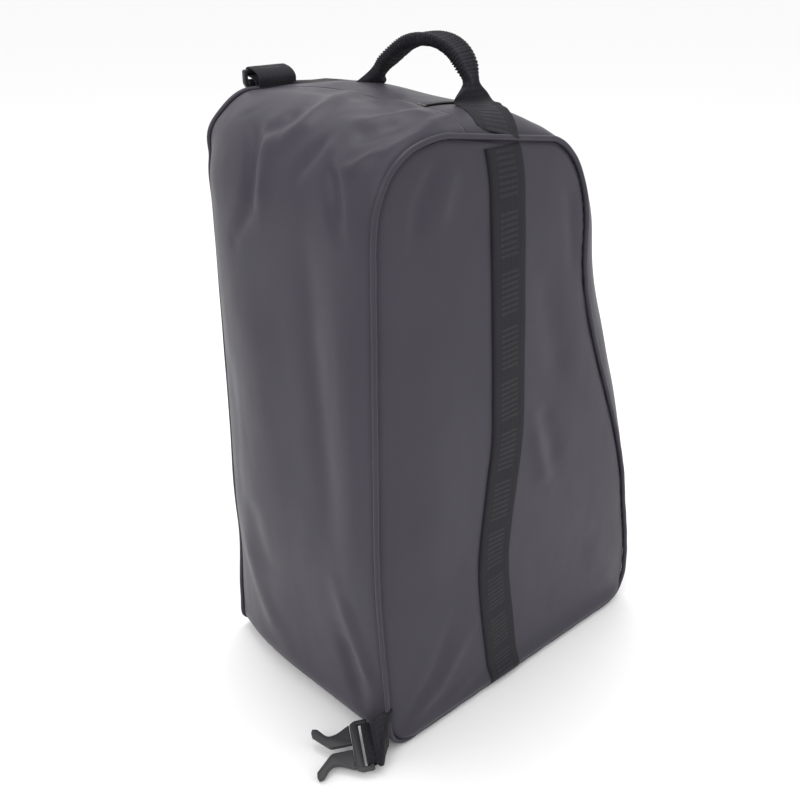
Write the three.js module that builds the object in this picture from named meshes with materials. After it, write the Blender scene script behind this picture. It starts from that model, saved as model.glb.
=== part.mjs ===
// Tall riding-boot bag with a boot-shaped front, a zipped front flap, a rolled webbing handle
// and two buckle tabs. Millimetres, +Z up. The origin is on the underside of the base, the
// front faces -Y and the toe side is +X.
import * as THREE from "three";

// Driving dimensions
const DEPTH = 230; // front seam to back seam
const FRONT_Y = -DEPTH / 2;
const BACK_Y = DEPTH / 2;
const SEAM_RISE = 3.4; // the lower seams run this far above the floor
const WALL = 3; // padded coated fabric
const PANEL_THICK = 3.4;
const GAP = 0.35; // between pieces that touch
const LINING_GAP = 1.4;
const PIPING_R = 2.2;
const PIPING_CLEAR = PIPING_R + GAP;
const WEBBING = 38;
const WEBBING_THICK = 1.4;
const HANDLE_X = -50; // middle of the handle
const FOLD_X = 4; // the flap folds along this upright line
const ZIP_START_X = -90; // where the zip starts on the top
const TOE_X = 136; // where the base ends and the zip gusset turns up
const HEEL_X = -142;
const FRONT_POWER = 8; // how sharply the gusset turns at the front seam
const REAR_POWER = 3;

// Positions across the gusset, measured over its surface from the front seam
const STRIP_END = 38;
const COIL_START = 43.6;
const ZIP_MIDDLE = 46;
const COIL_END = 48.4;
const REAR_START = 54;
const SEAM_EDGE = 4;
const SIDE_RIDGES = [-99, -80, -40, 0, 40, 80, 99];
const REAR_RIDGES = [-40, 0, 40, 80, 99];
const STRIP_RIDGES = [-104, -94];
const TOP_SHIFT = 10; // how much further back the zip runs over the top
const STATION_MIN = 11;
const STATION_MAX = 42;
const STATION_TURN = 0.16;

// How far the gusset stands out past the front seam, at places on it: halfway back and at the
// back seam. The front is drawn in at the ankle, so the rest of the bag is fuller than it.
const SWELLS = [
  [-60, SEAM_RISE, SEAM_RISE, 0],
  [HEEL_X, SEAM_RISE, SEAM_RISE, -3],
  [-168, 30, 3, -14],
  [-174, 120, 4, -25],
  [-180, 230, 4, -29],
  [-180, 430, 5, -29],
  [-170, 482, 6, -25],
  [-150, 501, 8, -8],
  [-112, 511, 12, 8],
  [-60, 505, 19, 16],
  [-22, 499, 19, 19],
  [14, 491, 8, 18],
  [38, 458, 27, 32],
  [54, 395, 44, 42],
  [80, 316, 43, 38],
  [106, 253, 39, 32],
  [135, 186, 31, 24],
  [150, 129, 22, 14],
  [162, 60, 7, 4],
  [TOE_X, SEAM_RISE, SEAM_RISE, 0],
  [60, SEAM_RISE, SEAM_RISE, 0],
];

const FABRIC = { color: 0x4d4a50, roughness: 0.55, metalness: 0 };
const LINING = { color: 0x17171a, roughness: 0.8, metalness: 0 };
const WEB = { color: 0x232227, roughness: 0.75, metalness: 0 };
const ZIP = { color: 0x1c1b20, roughness: 0.5, metalness: 0 };
const METAL = { color: 0x2a2a2e, roughness: 0.35, metalness: 0.8 };
const PLASTIC = { color: 0x3a383d, roughness: 0.45, metalness: 0 };

const bag = new THREE.Group();

function add(name, geometry, look, parent = bag) {
  const mesh = new THREE.Mesh(geometry, new THREE.MeshStandardMaterial(look));
  mesh.name = name;
  parent.add(mesh);
  return mesh;
}

// ---- The boot-shaped seam outline, in X and Z, from the fold line's foot round by the heel

function seamPath() {
  const p = new THREE.Path();
  p.moveTo(FOLD_X, SEAM_RISE);
  p.lineTo(HEEL_X, SEAM_RISE);
  p.quadraticCurveTo(-166, SEAM_RISE, -168, 30);
  p.bezierCurveTo(-172, 95, -180, 145, -180, 215);
  p.lineTo(-180, 440);
  p.bezierCurveTo(-180, 490, -158, 511, -112, 511);
  p.lineTo(FOLD_X, 495);
  p.bezierCurveTo(31, 487, 54, 455, 54, 405);
  p.bezierCurveTo(54, 330, 128, 235, 148, 140);
  p.bezierCurveTo(155, 100, 166, 72, 166, 38);
  p.quadraticCurveTo(166, SEAM_RISE, TOE_X, SEAM_RISE);
  p.lineTo(FOLD_X, SEAM_RISE);
  return p;
}

const SAMPLES = 1200;
const OUTLINE = seamPath().getSpacedPoints(SAMPLES);
const PERIMETER = seamPath().getLength();

// Point and outward normal at a distance along the outline
function seamAt(u) {
  const f = THREE.MathUtils.clamp(u / PERIMETER, 0, 1) * SAMPLES;
  const i = Math.min(Math.floor(f), SAMPLES - 1);
  const p = OUTLINE[i].clone().lerp(OUTLINE[i + 1], f - i);
  const a = OUTLINE[Math.max(i - 4, 0)];
  const b = OUTLINE[Math.min(i + 5, SAMPLES)];
  const t = b.clone().sub(a).normalize();
  return { x: p.x, z: p.y, nx: -t.y, nz: t.x };
}

function nearestU(x, z) {
  let best = 0;
  OUTLINE.forEach((q, i) => {
    const better = Math.hypot(q.x - x, q.y - z) < Math.hypot(OUTLINE[best].x - x, OUTLINE[best].y - z);
    if (better) best = i;
  });
  return (best / SAMPLES) * PERIMETER;
}

const SWELL_STATIONS = SWELLS.map(([x, z, middle, back]) => ({ u: nearestU(x, z), middle, back }));

function swellAt(u) {
  const last = SWELL_STATIONS[SWELL_STATIONS.length - 1];
  if (u <= SWELL_STATIONS[0].u) return SWELL_STATIONS[0];
  if (u >= last.u) return last;
  const i = SWELL_STATIONS.findIndex((station) => station.u > u);
  const [a, b] = [SWELL_STATIONS[i - 1], SWELL_STATIONS[i]];
  const f = THREE.MathUtils.smoothstep(u, a.u, b.u);
  const { lerp } = THREE.MathUtils;
  return { middle: lerp(a.middle, b.middle, f), back: lerp(a.back, b.back, f) };
}

// How far out the gusset's surface is at a depth
function riseAt({ middle, back }, y) {
  if (y < 0) return middle * (1 - (y / FRONT_Y) ** FRONT_POWER);
  return THREE.MathUtils.lerp(middle, back, (y / BACK_Y) ** REAR_POWER);
}

// A point set in from the front seam, or from the back one
function seamPoint(u, inset, atBack) {
  const q = seamAt(u);
  const out = (atBack ? swellAt(u).back : 0) - inset;
  return new THREE.Vector2(q.x + q.nx * out, q.z + q.nz * out);
}

// A section of the gusset from front seam to back seam: its points by distance over the surface
const SECTION_STEPS = 230;
function sectionAt(u) {
  const swell = swellAt(u);
  const points = [];
  let length = 0;
  for (let i = 0; i <= SECTION_STEPS; i++) {
    const y = FRONT_Y + (DEPTH * i) / SECTION_STEPS;
    const rise = riseAt(swell, y);
    const before = points[i - 1];
    if (before) length += Math.hypot(y - before.y, rise - before.rise);
    points.push({ y, rise, length });
  }
  const shift = TOP_SHIFT * (1 - THREE.MathUtils.smoothstep(u, U_FOLD, U_FOLD + 130));
  return { points, length, shift };
}

function gussetPoint(u, s, section = sectionAt(u)) {
  const { points } = section;
  const seam = seamAt(u);
  let i = points.findIndex((p) => p.length >= s);
  if (i < 1) i = s <= 0 ? 1 : points.length - 1;
  const f = (s - points[i - 1].length) / (points[i].length - points[i - 1].length);
  const y = THREE.MathUtils.lerp(points[i - 1].y, points[i].y, f);
  const rise = THREE.MathUtils.lerp(points[i - 1].rise, points[i].rise, f);
  return new THREE.Vector3(seam.x + seam.nx * rise, y, seam.z + seam.nz * rise);
}

function gussetNormal(u, s) {
  const du = gussetPoint(u + 2, s).sub(gussetPoint(u - 2, s));
  const ds = gussetPoint(u, s + 1).sub(gussetPoint(u, s - 1));
  return du.cross(ds).normalize();
}

// ---- Closed solids from grids of points

// rows[i][j] are the outer points and inner[i][j] the points under them
function slab(rows, inner) {
  const ni = rows.length;
  const nj = rows[0].length;
  const flat = [...rows.flat(), ...inner.flat()];
  const at = (layer, i, j) => layer * ni * nj + i * nj + j;
  const index = [];
  const quad = (a, b, c, d) => index.push(a, b, c, a, c, d);
  for (let i = 0; i < ni - 1; i++) {
    for (let j = 0; j < nj - 1; j++) {
      quad(at(0, i, j), at(0, i + 1, j), at(0, i + 1, j + 1), at(0, i, j + 1));
      quad(at(1, i, j), at(1, i, j + 1), at(1, i + 1, j + 1), at(1, i + 1, j));
    }
    quad(at(0, i, 0), at(1, i, 0), at(1, i + 1, 0), at(0, i + 1, 0));
    quad(at(0, i, nj - 1), at(0, i + 1, nj - 1), at(1, i + 1, nj - 1), at(1, i, nj - 1));
  }
  for (let j = 0; j < nj - 1; j++) {
    quad(at(0, 0, j), at(0, 0, j + 1), at(1, 0, j + 1), at(1, 0, j));
    quad(at(0, ni - 1, j), at(1, ni - 1, j), at(1, ni - 1, j + 1), at(0, ni - 1, j + 1));
  }
  const g = new THREE.BufferGeometry();
  g.setAttribute("position", new THREE.Float32BufferAttribute(flat.flatMap((v) => v.toArray()), 3));
  g.setIndex(index);
  g.computeVertexNormals();
  return outward(g);
}

// Turns a closed geometry's faces round if it encloses a negative volume
function outward(g) {
  const p = g.getAttribute("position");
  const idx = g.getIndex().array;
  const [a, b, c] = [new THREE.Vector3(), new THREE.Vector3(), new THREE.Vector3()];
  let volume = 0;
  for (let i = 0; i < idx.length; i += 3) {
    a.fromBufferAttribute(p, idx[i]);
    b.fromBufferAttribute(p, idx[i + 1]);
    c.fromBufferAttribute(p, idx[i + 2]);
    volume += a.dot(b.clone().cross(c));
  }
  if (volume > 0) return g;
  const turned = [];
  for (let i = 0; i < idx.length; i += 3) turned.push(idx[i], idx[i + 2], idx[i + 1]);
  return g.setIndex(turned);
}

// ---- Places along the outline

const U_HEEL = nearestU(HEEL_X, SEAM_RISE);
const U_ZIP = nearestU(ZIP_START_X, 509);
const U_STRAP = nearestU(HANDLE_X, 502);
const U_FOLD = nearestU(FOLD_X, 495);
const U_TOE = nearestU(TOE_X, SEAM_RISE);

// Points along the outline that every band shares, closer together where it bends
const STATIONS = [];
for (let last = 0, i = 1; i < SAMPLES; i++) {
  const u = (i / SAMPLES) * PERIMETER;
  const bend = (v) => new THREE.Vector2(seamAt(v).nx, seamAt(v).nz);
  const turned = bend(u).distanceTo(bend(last));
  if (u - last < STATION_MIN || (turned < STATION_TURN && u - last < STATION_MAX)) continue;
  STATIONS.push(u);
  last = u;
}
STATIONS.push(U_STRAP - WEBBING / 2, U_STRAP + WEBBING / 2);
STATIONS.sort((a, b) => a - b);

function stationsBetween(u0, u1) {
  const clear = STATION_MIN / 3;
  return [u0, ...STATIONS.filter((u) => u > u0 + clear && u < u1 - clear), u1];
}

// A band of the gusset between two distances along the outline and two over its section.
// from and to give the section distances, and ridges the depths (Y) it has points at between
// them; lift is the outer face's height above the surface.
function gussetBand({ u0, u1, from, to, ridges = [], lift = 0, thick = WALL }) {
  const outer = [];
  const inner = [];
  for (const u of stationsBetween(u0, u1)) {
    const section = sectionAt(u);
    const between = ridges.map((y) => section.points[Math.round(((y - FRONT_Y) / DEPTH) * SECTION_STEPS)].length);
    const rowOut = [];
    const rowIn = [];
    for (const s of [from(section), ...between, to(section)]) {
      const p = gussetPoint(u, s, section);
      const n = gussetNormal(u, s);
      rowOut.push(p.clone().addScaledVector(n, lift));
      rowIn.push(p.clone().addScaledVector(n, lift - thick));
    }
    outer.push(rowOut);
    inner.push(rowIn);
  }
  return slab(outer, inner);
}

// An upright plate whose edge follows the seam outline, set in from it
function seamPlate(u0, u1, inset, y0, thick, clampX = (x) => x) {
  const edge = stationsBetween(u0, u1).map((u) => {
    const q = seamPoint(u, inset, y0 > 0);
    return q.setX(clampX(q.x));
  });
  const shape = new THREE.Shape(edge);
  const g = new THREE.ExtrudeGeometry(shape, { depth: thick, bevelEnabled: false });
  return g.rotateX(Math.PI / 2).translate(0, y0 + thick, 0);
}

// A round cord along the seam outline
function piping(u0, u1, y, closed) {
  const places = stationsBetween(u0, u1);
  if (closed) places.pop();
  const points = places.map((u) => {
    const q = seamPoint(u, 0, y > 0);
    return new THREE.Vector3(q.x, y, q.y);
  });
  return sweep(points, () => circle(PIPING_R, 8), new THREE.Vector3(0, 1, 0), closed);
}

function circle(r, sides) {
  return Array.from({ length: sides }, (_, k) => {
    const a = (2 * Math.PI * (k + 0.5)) / sides;
    return [r * Math.cos(a), r * Math.sin(a)];
  });
}

// A rounded flat section: half width a and half thickness b
function band(a, b, sides = 12) {
  return Array.from({ length: sides }, (_, k) => {
    const t = (2 * Math.PI * (k + 0.5)) / sides;
    const flat = (v) => Math.sign(v) * Math.abs(v) ** 0.6;
    return [a * flat(Math.cos(t)), b * flat(Math.sin(t))];
  });
}

// Sweeps a section along points; side is the direction of the section's first axis
function sweep(points, sectionOf, side, closed = false) {
  const n = points.length;
  const rings = points.map((p, i) => {
    const before = points[closed ? (i - 1 + n) % n : Math.max(i - 1, 0)];
    const after = points[closed ? (i + 1) % n : Math.min(i + 1, n - 1)];
    const along = after.clone().sub(before).normalize();
    const b = along.clone().cross(side).normalize();
    const a = b.clone().cross(along).normalize();
    return sectionOf(i / (n - 1)).map(([h, v]) => p.clone().addScaledVector(a, h).addScaledVector(b, v));
  });
  const m = rings[0].length;
  const index = [];
  const count = closed ? n : n - 1;
  for (let i = 0; i < count; i++) {
    const next = (i + 1) % n;
    for (let k = 0; k < m; k++) {
      const k1 = (k + 1) % m;
      index.push(i * m + k, next * m + k, next * m + k1, i * m + k, next * m + k1, i * m + k1);
    }
  }
  if (!closed) {
    for (let k = 1; k < m - 1; k++) {
      index.push(0, k, k + 1);
      index.push((n - 1) * m, (n - 1) * m + k + 1, (n - 1) * m + k);
    }
  }
  const g = new THREE.BufferGeometry();
  const flat = rings.flat().flatMap((v) => v.toArray());
  g.setAttribute("position", new THREE.Float32BufferAttribute(flat, 3));
  g.setIndex(index);
  g.computeVertexNormals();
  return outward(g);
}

function extrudeUp(points, z0, thick) {
  const shape = new THREE.Shape(points.map(([x, y]) => new THREE.Vector2(x, y)));
  return new THREE.ExtrudeGeometry(shape, { depth: thick, bevelEnabled: false }).translate(0, 0, z0);
}

const full = (section) => section.length - SEAM_EDGE;
const fixed = (s) => () => s;
const zipEdge = (s) => (section) => s + section.shift;

// ---- Fabric body

function makeBody() {
  const side = { u0: U_HEEL + GAP, u1: U_ZIP - GAP, from: fixed(SEAM_EDGE), to: full };
  add("side_gusset", gussetBand({ ...side, ridges: SIDE_RIDGES }), FABRIC);
  const rear = { u0: U_ZIP + GAP, u1: U_TOE - GAP, from: zipEdge(REAR_START + GAP), to: full };
  add("rear_zip_gusset", gussetBand({ ...rear, ridges: REAR_RIDGES }), FABRIC);
  const strip = { u0: U_ZIP + GAP, u1: U_FOLD - 1, from: fixed(SEAM_EDGE), to: zipEdge(STRIP_END) };
  add("top_zip_strip", gussetBand({ ...strip, ridges: STRIP_RIDGES }), FABRIC);
  const front = FRONT_Y + SEAM_EDGE;
  const base = [
    [HEEL_X, front],
    [FOLD_X - 1, front],
    [FOLD_X - 1, FRONT_Y + REAR_START + GAP],
    [TOE_X, FRONT_Y + REAR_START + GAP],
    [TOE_X, BACK_Y - SEAM_EDGE],
    [HEEL_X, BACK_Y - SEAM_EDGE],
  ];
  add("base_panel", extrudeUp(base, 0, WALL), FABRIC);
  const left = (x) => Math.min(x, FOLD_X - 0.4);
  add("front_panel", seamPlate(0, U_FOLD, PIPING_CLEAR, FRONT_Y - 2, PANEL_THICK, left), FABRIC);
  add("back_panel", seamPlate(0, PERIMETER, PIPING_CLEAR + 2.5, BACK_Y - PANEL_THICK + 2, PANEL_THICK), FABRIC);
  add("front_piping", piping(1.5, U_FOLD - 1.5, FRONT_Y, false), FABRIC);
  add("back_piping", piping(0, PERIMETER, BACK_Y, true), FABRIC);
}

function makeLining() {
  const skin = { lift: -WALL - LINING_GAP, thick: 0.8 };
  const inside = 9; // how far the lining stops short of each seam
  const to = (section) => section.length - inside;
  const side = { ...skin, u0: U_HEEL + 12, u1: U_ZIP - 1, from: fixed(inside), to };
  add("side_lining", gussetBand({ ...side, ridges: SIDE_RIDGES }), LINING);
  const rear = { ...skin, u0: U_ZIP + 1, u1: U_TOE - 12, from: zipEdge(REAR_START + 4), to };
  add("toe_lining", gussetBand({ ...rear, ridges: REAR_RIDGES }), LINING);
  const left = (x) => Math.min(x, FOLD_X - 1);
  add("front_lining", seamPlate(8, U_FOLD - 8, 12, FRONT_Y + 2, 0.8, left), LINING);
  add("back_lining", seamPlate(0, PERIMETER, 12, BACK_Y - 2.8, 0.8), LINING);
}

// ---- The flap: the toe half of the front, with its share of piping, strip and zip

function makeFlap() {
  const flap = new THREE.Group();
  bag.add(flap);
  const right = (x) => Math.max(x, FOLD_X + 0.4);
  const panel = seamPlate(U_FOLD, PERIMETER, PIPING_CLEAR, FRONT_Y - 2, PANEL_THICK, right);
  add("front_flap", panel, FABRIC, flap);
  add("flap_piping", piping(U_FOLD + 1.5, PERIMETER - 1.5, FRONT_Y, false), FABRIC, flap);
  const span = { u0: U_FOLD + 1, u1: PERIMETER - 1 };
  const strip = { ...span, from: fixed(SEAM_EDGE), to: zipEdge(STRIP_END), ridges: STRIP_RIDGES };
  add("flap_strip", gussetBand(strip), FABRIC, flap);
  const inner = (x) => Math.max(x, FOLD_X + 1);
  add("flap_lining", seamPlate(U_FOLD + 8, PERIMETER - 8, 12, FRONT_Y + 2, 0.8, inner), LINING, flap);
  add("flap_zip_tape", gussetBand({ ...span, ...tapeFront }), ZIP, flap);
  add("flap_zip_coil", gussetBand({ ...span, ...coilFront }), ZIP, flap);
}

// ---- Zip. Tape and coil lie a little below the fabric, so that the bag doesn't stand on them.

const TAPE = { lift: -0.9, thick: 0.9 };
const COIL = { lift: -0.1, thick: 2 };
const tapeFront = { ...TAPE, from: zipEdge(STRIP_END + GAP), to: zipEdge(COIL_START - GAP) };
const coilFront = { ...COIL, from: zipEdge(COIL_START), to: zipEdge(ZIP_MIDDLE - GAP / 2) };
const tapeRear = { ...TAPE, from: zipEdge(COIL_END + GAP), to: zipEdge(REAR_START) };
const coilRear = { ...COIL, from: zipEdge(ZIP_MIDDLE + GAP / 2), to: zipEdge(COIL_END) };
const STOP = 5; // length of a zip end stop

function makeZip() {
  const rear = { u0: U_ZIP + STOP + 2 * GAP, u1: PERIMETER - STOP - 2 };
  add("rear_zip_tape", gussetBand({ ...rear, ...tapeRear }), ZIP);
  add("rear_zip_coil", gussetBand({ ...rear, ...coilRear }), ZIP);
  const top = { u0: U_ZIP + STOP + 2 * GAP, u1: U_FOLD - 1 };
  add("top_zip_tape", gussetBand({ ...top, ...tapeFront }), ZIP);
  add("top_zip_coil", gussetBand({ ...top, ...coilFront }), ZIP);
  const stop = { ...COIL, from: zipEdge(STRIP_END + GAP), to: zipEdge(REAR_START) };
  add("zip_start_stop", gussetBand({ ...stop, u0: U_ZIP + GAP, u1: U_ZIP + STOP }), METAL);
  const endStop = { u0: PERIMETER - STOP, u1: PERIMETER - 1.2, from: zipEdge(COIL_END + GAP) };
  add("zip_end_stop", gussetBand({ ...stop, ...endStop }), METAL);
}

const SLIDER_U = nearestU(130, 196); // the slider rests here, at the foot of a straight stretch
const SLIDE = 40; // length of that stretch
const SLIDER = { length: 11, width: 9, height: 3.2 };

// The slider's frame: X along the zip, Y across it and Z out of the surface
function sliderFrame() {
  const at = gussetPoint(SLIDER_U, ZIP_MIDDLE);
  const along = at.clone().sub(gussetPoint(SLIDER_U - SLIDE, ZIP_MIDDLE)).normalize();
  const across = gussetNormal(SLIDER_U - SLIDE / 2, ZIP_MIDDLE).cross(along).normalize();
  const up = along.clone().cross(across);
  const g = new THREE.Group();
  g.matrixAutoUpdate = false;
  g.matrix.makeBasis(along, across, up).setPosition(at);
  return g;
}

function plate(outline, thick, bevel = 0) {
  const shape = new THREE.Shape(outline.map(([x, y]) => new THREE.Vector2(x, y)));
  return plateOf(shape, thick, bevel);
}

function plateOf(shape, thick, bevel) {
  const depth = thick - 2 * bevel;
  const g = new THREE.ExtrudeGeometry(shape, {
    depth,
    bevelEnabled: bevel > 0,
    bevelThickness: bevel,
    bevelSize: bevel,
    bevelOffset: -bevel,
    bevelSegments: 1,
    curveSegments: 6,
  });
  return g.translate(0, 0, -depth / 2);
}

const PULL_PIN_HEIGHT = 5.4;

function makeSlider() {
  const frame = sliderFrame();
  bag.add(frame);
  const { length, width, height } = SLIDER;
  const l = length / 2;
  const w = width / 2;
  const body = plate([[-l, -w * 0.6], [l * 0.3, -w], [l, -w * 0.8], [l, w * 0.8], [l * 0.3, w], [-l, w * 0.6]], height);
  add("zip_slider", body.translate(0, 0, 0.6 + height / 2), METAL, frame);
  // The pull hangs down over the slider
  const shape = new THREE.Shape();
  shape.moveTo(1.2, -2.5);
  shape.lineTo(1.2, 2.5);
  shape.lineTo(20, 3.4);
  shape.lineTo(23, 2.2);
  shape.lineTo(23, -2.2);
  shape.lineTo(20, -3.4);
  shape.closePath();
  const pull = plateOf(shape, 1.4, 0);
  add("zip_pull", pull.translate(0, 0, PULL_PIN_HEIGHT), METAL, frame);
}

// ---- Webbing

const FRONT_FOOT = 45; // how far over the top, from each seam, the handle rises
const REAR_FOOT = 78;
const WEB_LIFT = WEBBING_THICK + GAP;
const STRAP_LINE = [
  [-24, 8],
  [-36, 62],
  [-48, 120],
  [-49, 165],
  [-38, 245],
  [-40, 300],
  [-50, 440],
  [-56, 494],
];

function makeStraps() {
  const half = WEBBING / 2;
  const left = STRAP_LINE.map(([x, z]) => [x - half, z]);
  const right = STRAP_LINE.map(([x, z]) => [x + half, z]);
  const outline = [...right, ...left.reverse()];
  const strap = plate(outline, WEBBING_THICK).rotateX(Math.PI / 2);
  const y = BACK_Y + 2 + GAP + WEBBING_THICK / 2;
  add("front_webbing", strap.clone().translate(0, -y, 0), WEB);
  add("back_webbing", strap.clone().translate(0, y, 0), WEB);
  const anchor = { u0: U_STRAP - half, u1: U_STRAP + half, lift: WEB_LIFT, thick: WEBBING_THICK };
  const front = { from: fixed(SEAM_EDGE + 1), to: fixed(FRONT_FOOT - 1), ridges: STRIP_RIDGES };
  add("front_anchor", gussetBand({ ...anchor, ...front }), WEB);
  const rear = { from: (x) => x.length - REAR_FOOT + 1, to: (x) => x.length - SEAM_EDGE - 1, ridges: [99] };
  add("rear_anchor", gussetBand({ ...anchor, ...rear }), WEB);
}

const HANDLE_RISE = 41; // apex above the front anchor
const HANDLE_STEPS = 26;

// The handle's line in the YZ plane: steep legs and a leaning round top
function handlePoints() {
  const front = gussetPoint(U_STRAP, FRONT_FOOT).add(new THREE.Vector3(0, 0, 2.6));
  const section = sectionAt(U_STRAP);
  const rear = gussetPoint(U_STRAP, section.length - REAR_FOOT).add(new THREE.Vector3(0, 0, 2.6));
  const curve = new THREE.CatmullRomCurve3([
    front,
    front.clone().add(new THREE.Vector3(0, 4, 18)),
    front.clone().add(new THREE.Vector3(0, 16, 34)),
    front.clone().add(new THREE.Vector3(0, 40, HANDLE_RISE)),
    front.clone().add(new THREE.Vector3(0, 68, HANDLE_RISE - 4)),
    rear.clone().add(new THREE.Vector3(0, -22, 21)),
    rear,
  ]);
  return curve.getSpacedPoints(HANDLE_STEPS);
}

const FOOT_END = 0.15; // share of the handle's line that each foot takes
const GRIP_START = 0.185;
const GRIP_TAPER = 0.05;

// The feet are flat webbing gathered into the rolled grip, which swings between them
function makeHandle() {
  const side = new THREE.Vector3(1, 0, 0);
  const line = new THREE.CatmullRomCurve3(handlePoints());
  const part = (from, to, count) =>
    Array.from({ length: count + 1 }, (_, i) => line.getPointAt(THREE.MathUtils.lerp(from, to, i / count)));
  const { lerp, smoothstep } = THREE.MathUtils;
  const foot = (t) => band(lerp(WEBBING / 2, 10, smoothstep(t, 0.2, 1)), lerp(0.8, 4.5, smoothstep(t, 0.2, 1)));
  add("handle_front_foot", sweep(part(0, FOOT_END, 6), foot, side), WEB);
  add("handle_rear_foot", sweep(part(1, 1 - FOOT_END, 6), foot, side), WEB);
  const end = (t) => smoothstep(Math.min(t, 1 - t), 0, GRIP_TAPER);
  const grip = (t) => band(lerp(3.5, 9.5, end(t)), lerp(3, 6, end(t)));
  add("handle_grip", sweep(part(GRIP_START, 1 - GRIP_START, 28), grip, side), WEB);
}

// ---- Buckle tabs. In a tab's frame X runs outwards, Y is the webbing's width and Z its thickness.

const BAR_R = 1.6; // half the bar's side
const BUCKLE_THICK = 4.2;
const RAIL = 4;
const BUCKLE_HALF = WEBBING / 2 + 1 + RAIL;
const BODY_FROM = 6; // the solid plate starts this far past the bar
const BODY_TO = 13.5;
const PRONG_TO = 45;
const SLOT_HALF = 2.6;

// A doubled webbing strip round the bar: a narrow hairpin that follows a bent line
function hairpin(line, halfGap) {
  const left = [];
  const right = [];
  const innerLeft = [];
  const innerRight = [];
  line.forEach((p, i) => {
    const a = line[Math.max(i - 1, 0)];
    const b = line[Math.min(i + 1, line.length - 1)];
    const t = b.clone().sub(a).normalize();
    const n = new THREE.Vector2(-t.y, t.x);
    left.push(p.clone().addScaledVector(n, halfGap + WEBBING_THICK));
    right.push(p.clone().addScaledVector(n, -halfGap - WEBBING_THICK));
    innerLeft.push(p.clone().addScaledVector(n, halfGap));
    innerRight.push(p.clone().addScaledVector(n, -halfGap));
  });
  const end = line[line.length - 1];
  const t = end.clone().sub(line[line.length - 2]).normalize();
  const turn = (r) =>
    [60, 30, 0, -30, -60].map((d) => {
      const v = t.clone().rotateAround(new THREE.Vector2(), THREE.MathUtils.degToRad(d));
      return end.clone().addScaledVector(v, r);
    });
  const outer = [...left, ...turn(halfGap + WEBBING_THICK), ...right.reverse()];
  const inner = [...innerRight, ...turn(halfGap).reverse(), ...innerLeft.reverse()];
  return new THREE.Shape([...outer, ...inner]);
}

function makeTab(name, line, parent) {
  const shape = hairpin(line.map(([x, z]) => new THREE.Vector2(x, z)), BAR_R * Math.SQRT2 + GAP);
  const g = new THREE.ExtrudeGeometry(shape, { depth: WEBBING, bevelEnabled: false });
  add(name, g.rotateX(Math.PI / 2).translate(0, WEBBING / 2, 0), WEB, parent);
}

// The male buckle, its bar at the frame's origin and its prongs along +X
function makeBuckle(prefix, parent) {
  const w = BUCKLE_HALF;
  const bar = w - RAIL;
  const frame = new THREE.Shape();
  frame.moveTo(-BAR_R, -w + 1);
  frame.lineTo(-BAR_R, w - 1);
  frame.lineTo(-BAR_R + 1, w);
  frame.lineTo(BODY_FROM + 3, w);
  frame.lineTo(BODY_TO, w - 3);
  frame.lineTo(BODY_TO, -w + 3);
  frame.lineTo(BODY_FROM + 3, -w);
  frame.lineTo(-BAR_R + 1, -w);
  frame.closePath();
  const slot = new THREE.Path([[BAR_R, -bar], [BODY_FROM, -bar], [BODY_FROM, bar], [BAR_R, bar]].map(([x, y]) => new THREE.Vector2(x, y)));
  frame.holes.push(slot);
  add(prefix + "_frame", plateOf(frame, 2 * BAR_R, 0), PLASTIC, parent);
  for (const side of [1, -1]) {
    const p = new THREE.Shape();
    const y = (v) => side * v;
    p.moveTo(BODY_TO + GAP, y(SLOT_HALF));
    p.lineTo(BODY_TO + GAP, y(w - 3.2));
    p.bezierCurveTo(20, y(w - 6), 24, y(w - 10), 31, y(w - 10));
    p.bezierCurveTo(35, y(w - 10), 37, y(w - 5), 41, y(w - 1));
    p.lineTo(PRONG_TO, y(w));
    p.lineTo(PRONG_TO + 1, y(w - 7));
    p.lineTo(33, y(SLOT_HALF + 1));
    p.lineTo(30, y(SLOT_HALF));
    p.closePath();
    add(prefix + (side > 0 ? "_prong_a" : "_prong_b"), plateOf(p, BUCKLE_THICK, 0.6), PLASTIC, parent);
  }
}

const BUCKLE = new THREE.Vector3(-183.5, -106, 14); // middle of the lower buckle's bar
const BUCKLE_OUT = new THREE.Vector3(-0.83, 0.55, -0.11).normalize();
const BUCKLE_WIDTH = new THREE.Vector3(0.533, 0.81, 0.246).addScaledVector(BUCKLE_OUT, 0.024).normalize();
const LOOP = 4; // length of the lower loop
const TAB_LINE = [
  [-174.6, -117.4, 30],
  [-178, -117, 23],
  [-181, -113, 17],
  [-179.7, -108.5, 14.4],
];
const UPPER = { at: [-81, BACK_Y + 1, 523], height: 8 };
const LOWER_LINE = [[0, 0], [1.4, 0], [2.8, 0], [LOOP, 0]];
const UPPER_LINE = [[0, 0], [2.4, 0.6], [4.8, 3], [6.8, 7.4], [UPPER.height, 13]];

// The lower tab leaves the front seam upright and turns flat into its loop
function makeLowerTab() {
  const corners = TAB_LINE.map((p) => new THREE.Vector3(...p));
  const line = new THREE.CatmullRomCurve3(corners).getSpacedPoints(10);
  const seam = new THREE.Vector3(0.12, 0, 0.99);
  const shares = [-1, -0.5, 0, 0.5, 1];
  const rows = line.map((p, i) => {
    const side = seam.clone().lerp(BUCKLE_WIDTH, THREE.MathUtils.smoothstep(i / 10, 0, 1)).normalize();
    return shares.map((share) => p.clone().addScaledVector(side, (share * WEBBING) / 2));
  });
  const inner = rows.map((row, i) => {
    const before = rows[Math.max(i - 1, 0)];
    const after = rows[Math.min(i + 1, rows.length - 1)];
    const across = row[4].clone().sub(row[0]);
    return row.map((p, j) => {
      const normal = after[j].clone().sub(before[j]).cross(across).normalize();
      return p.clone().addScaledVector(normal, WEBBING_THICK);
    });
  });
  add("lower_tab", slab(rows, inner), WEB);
}

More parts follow.
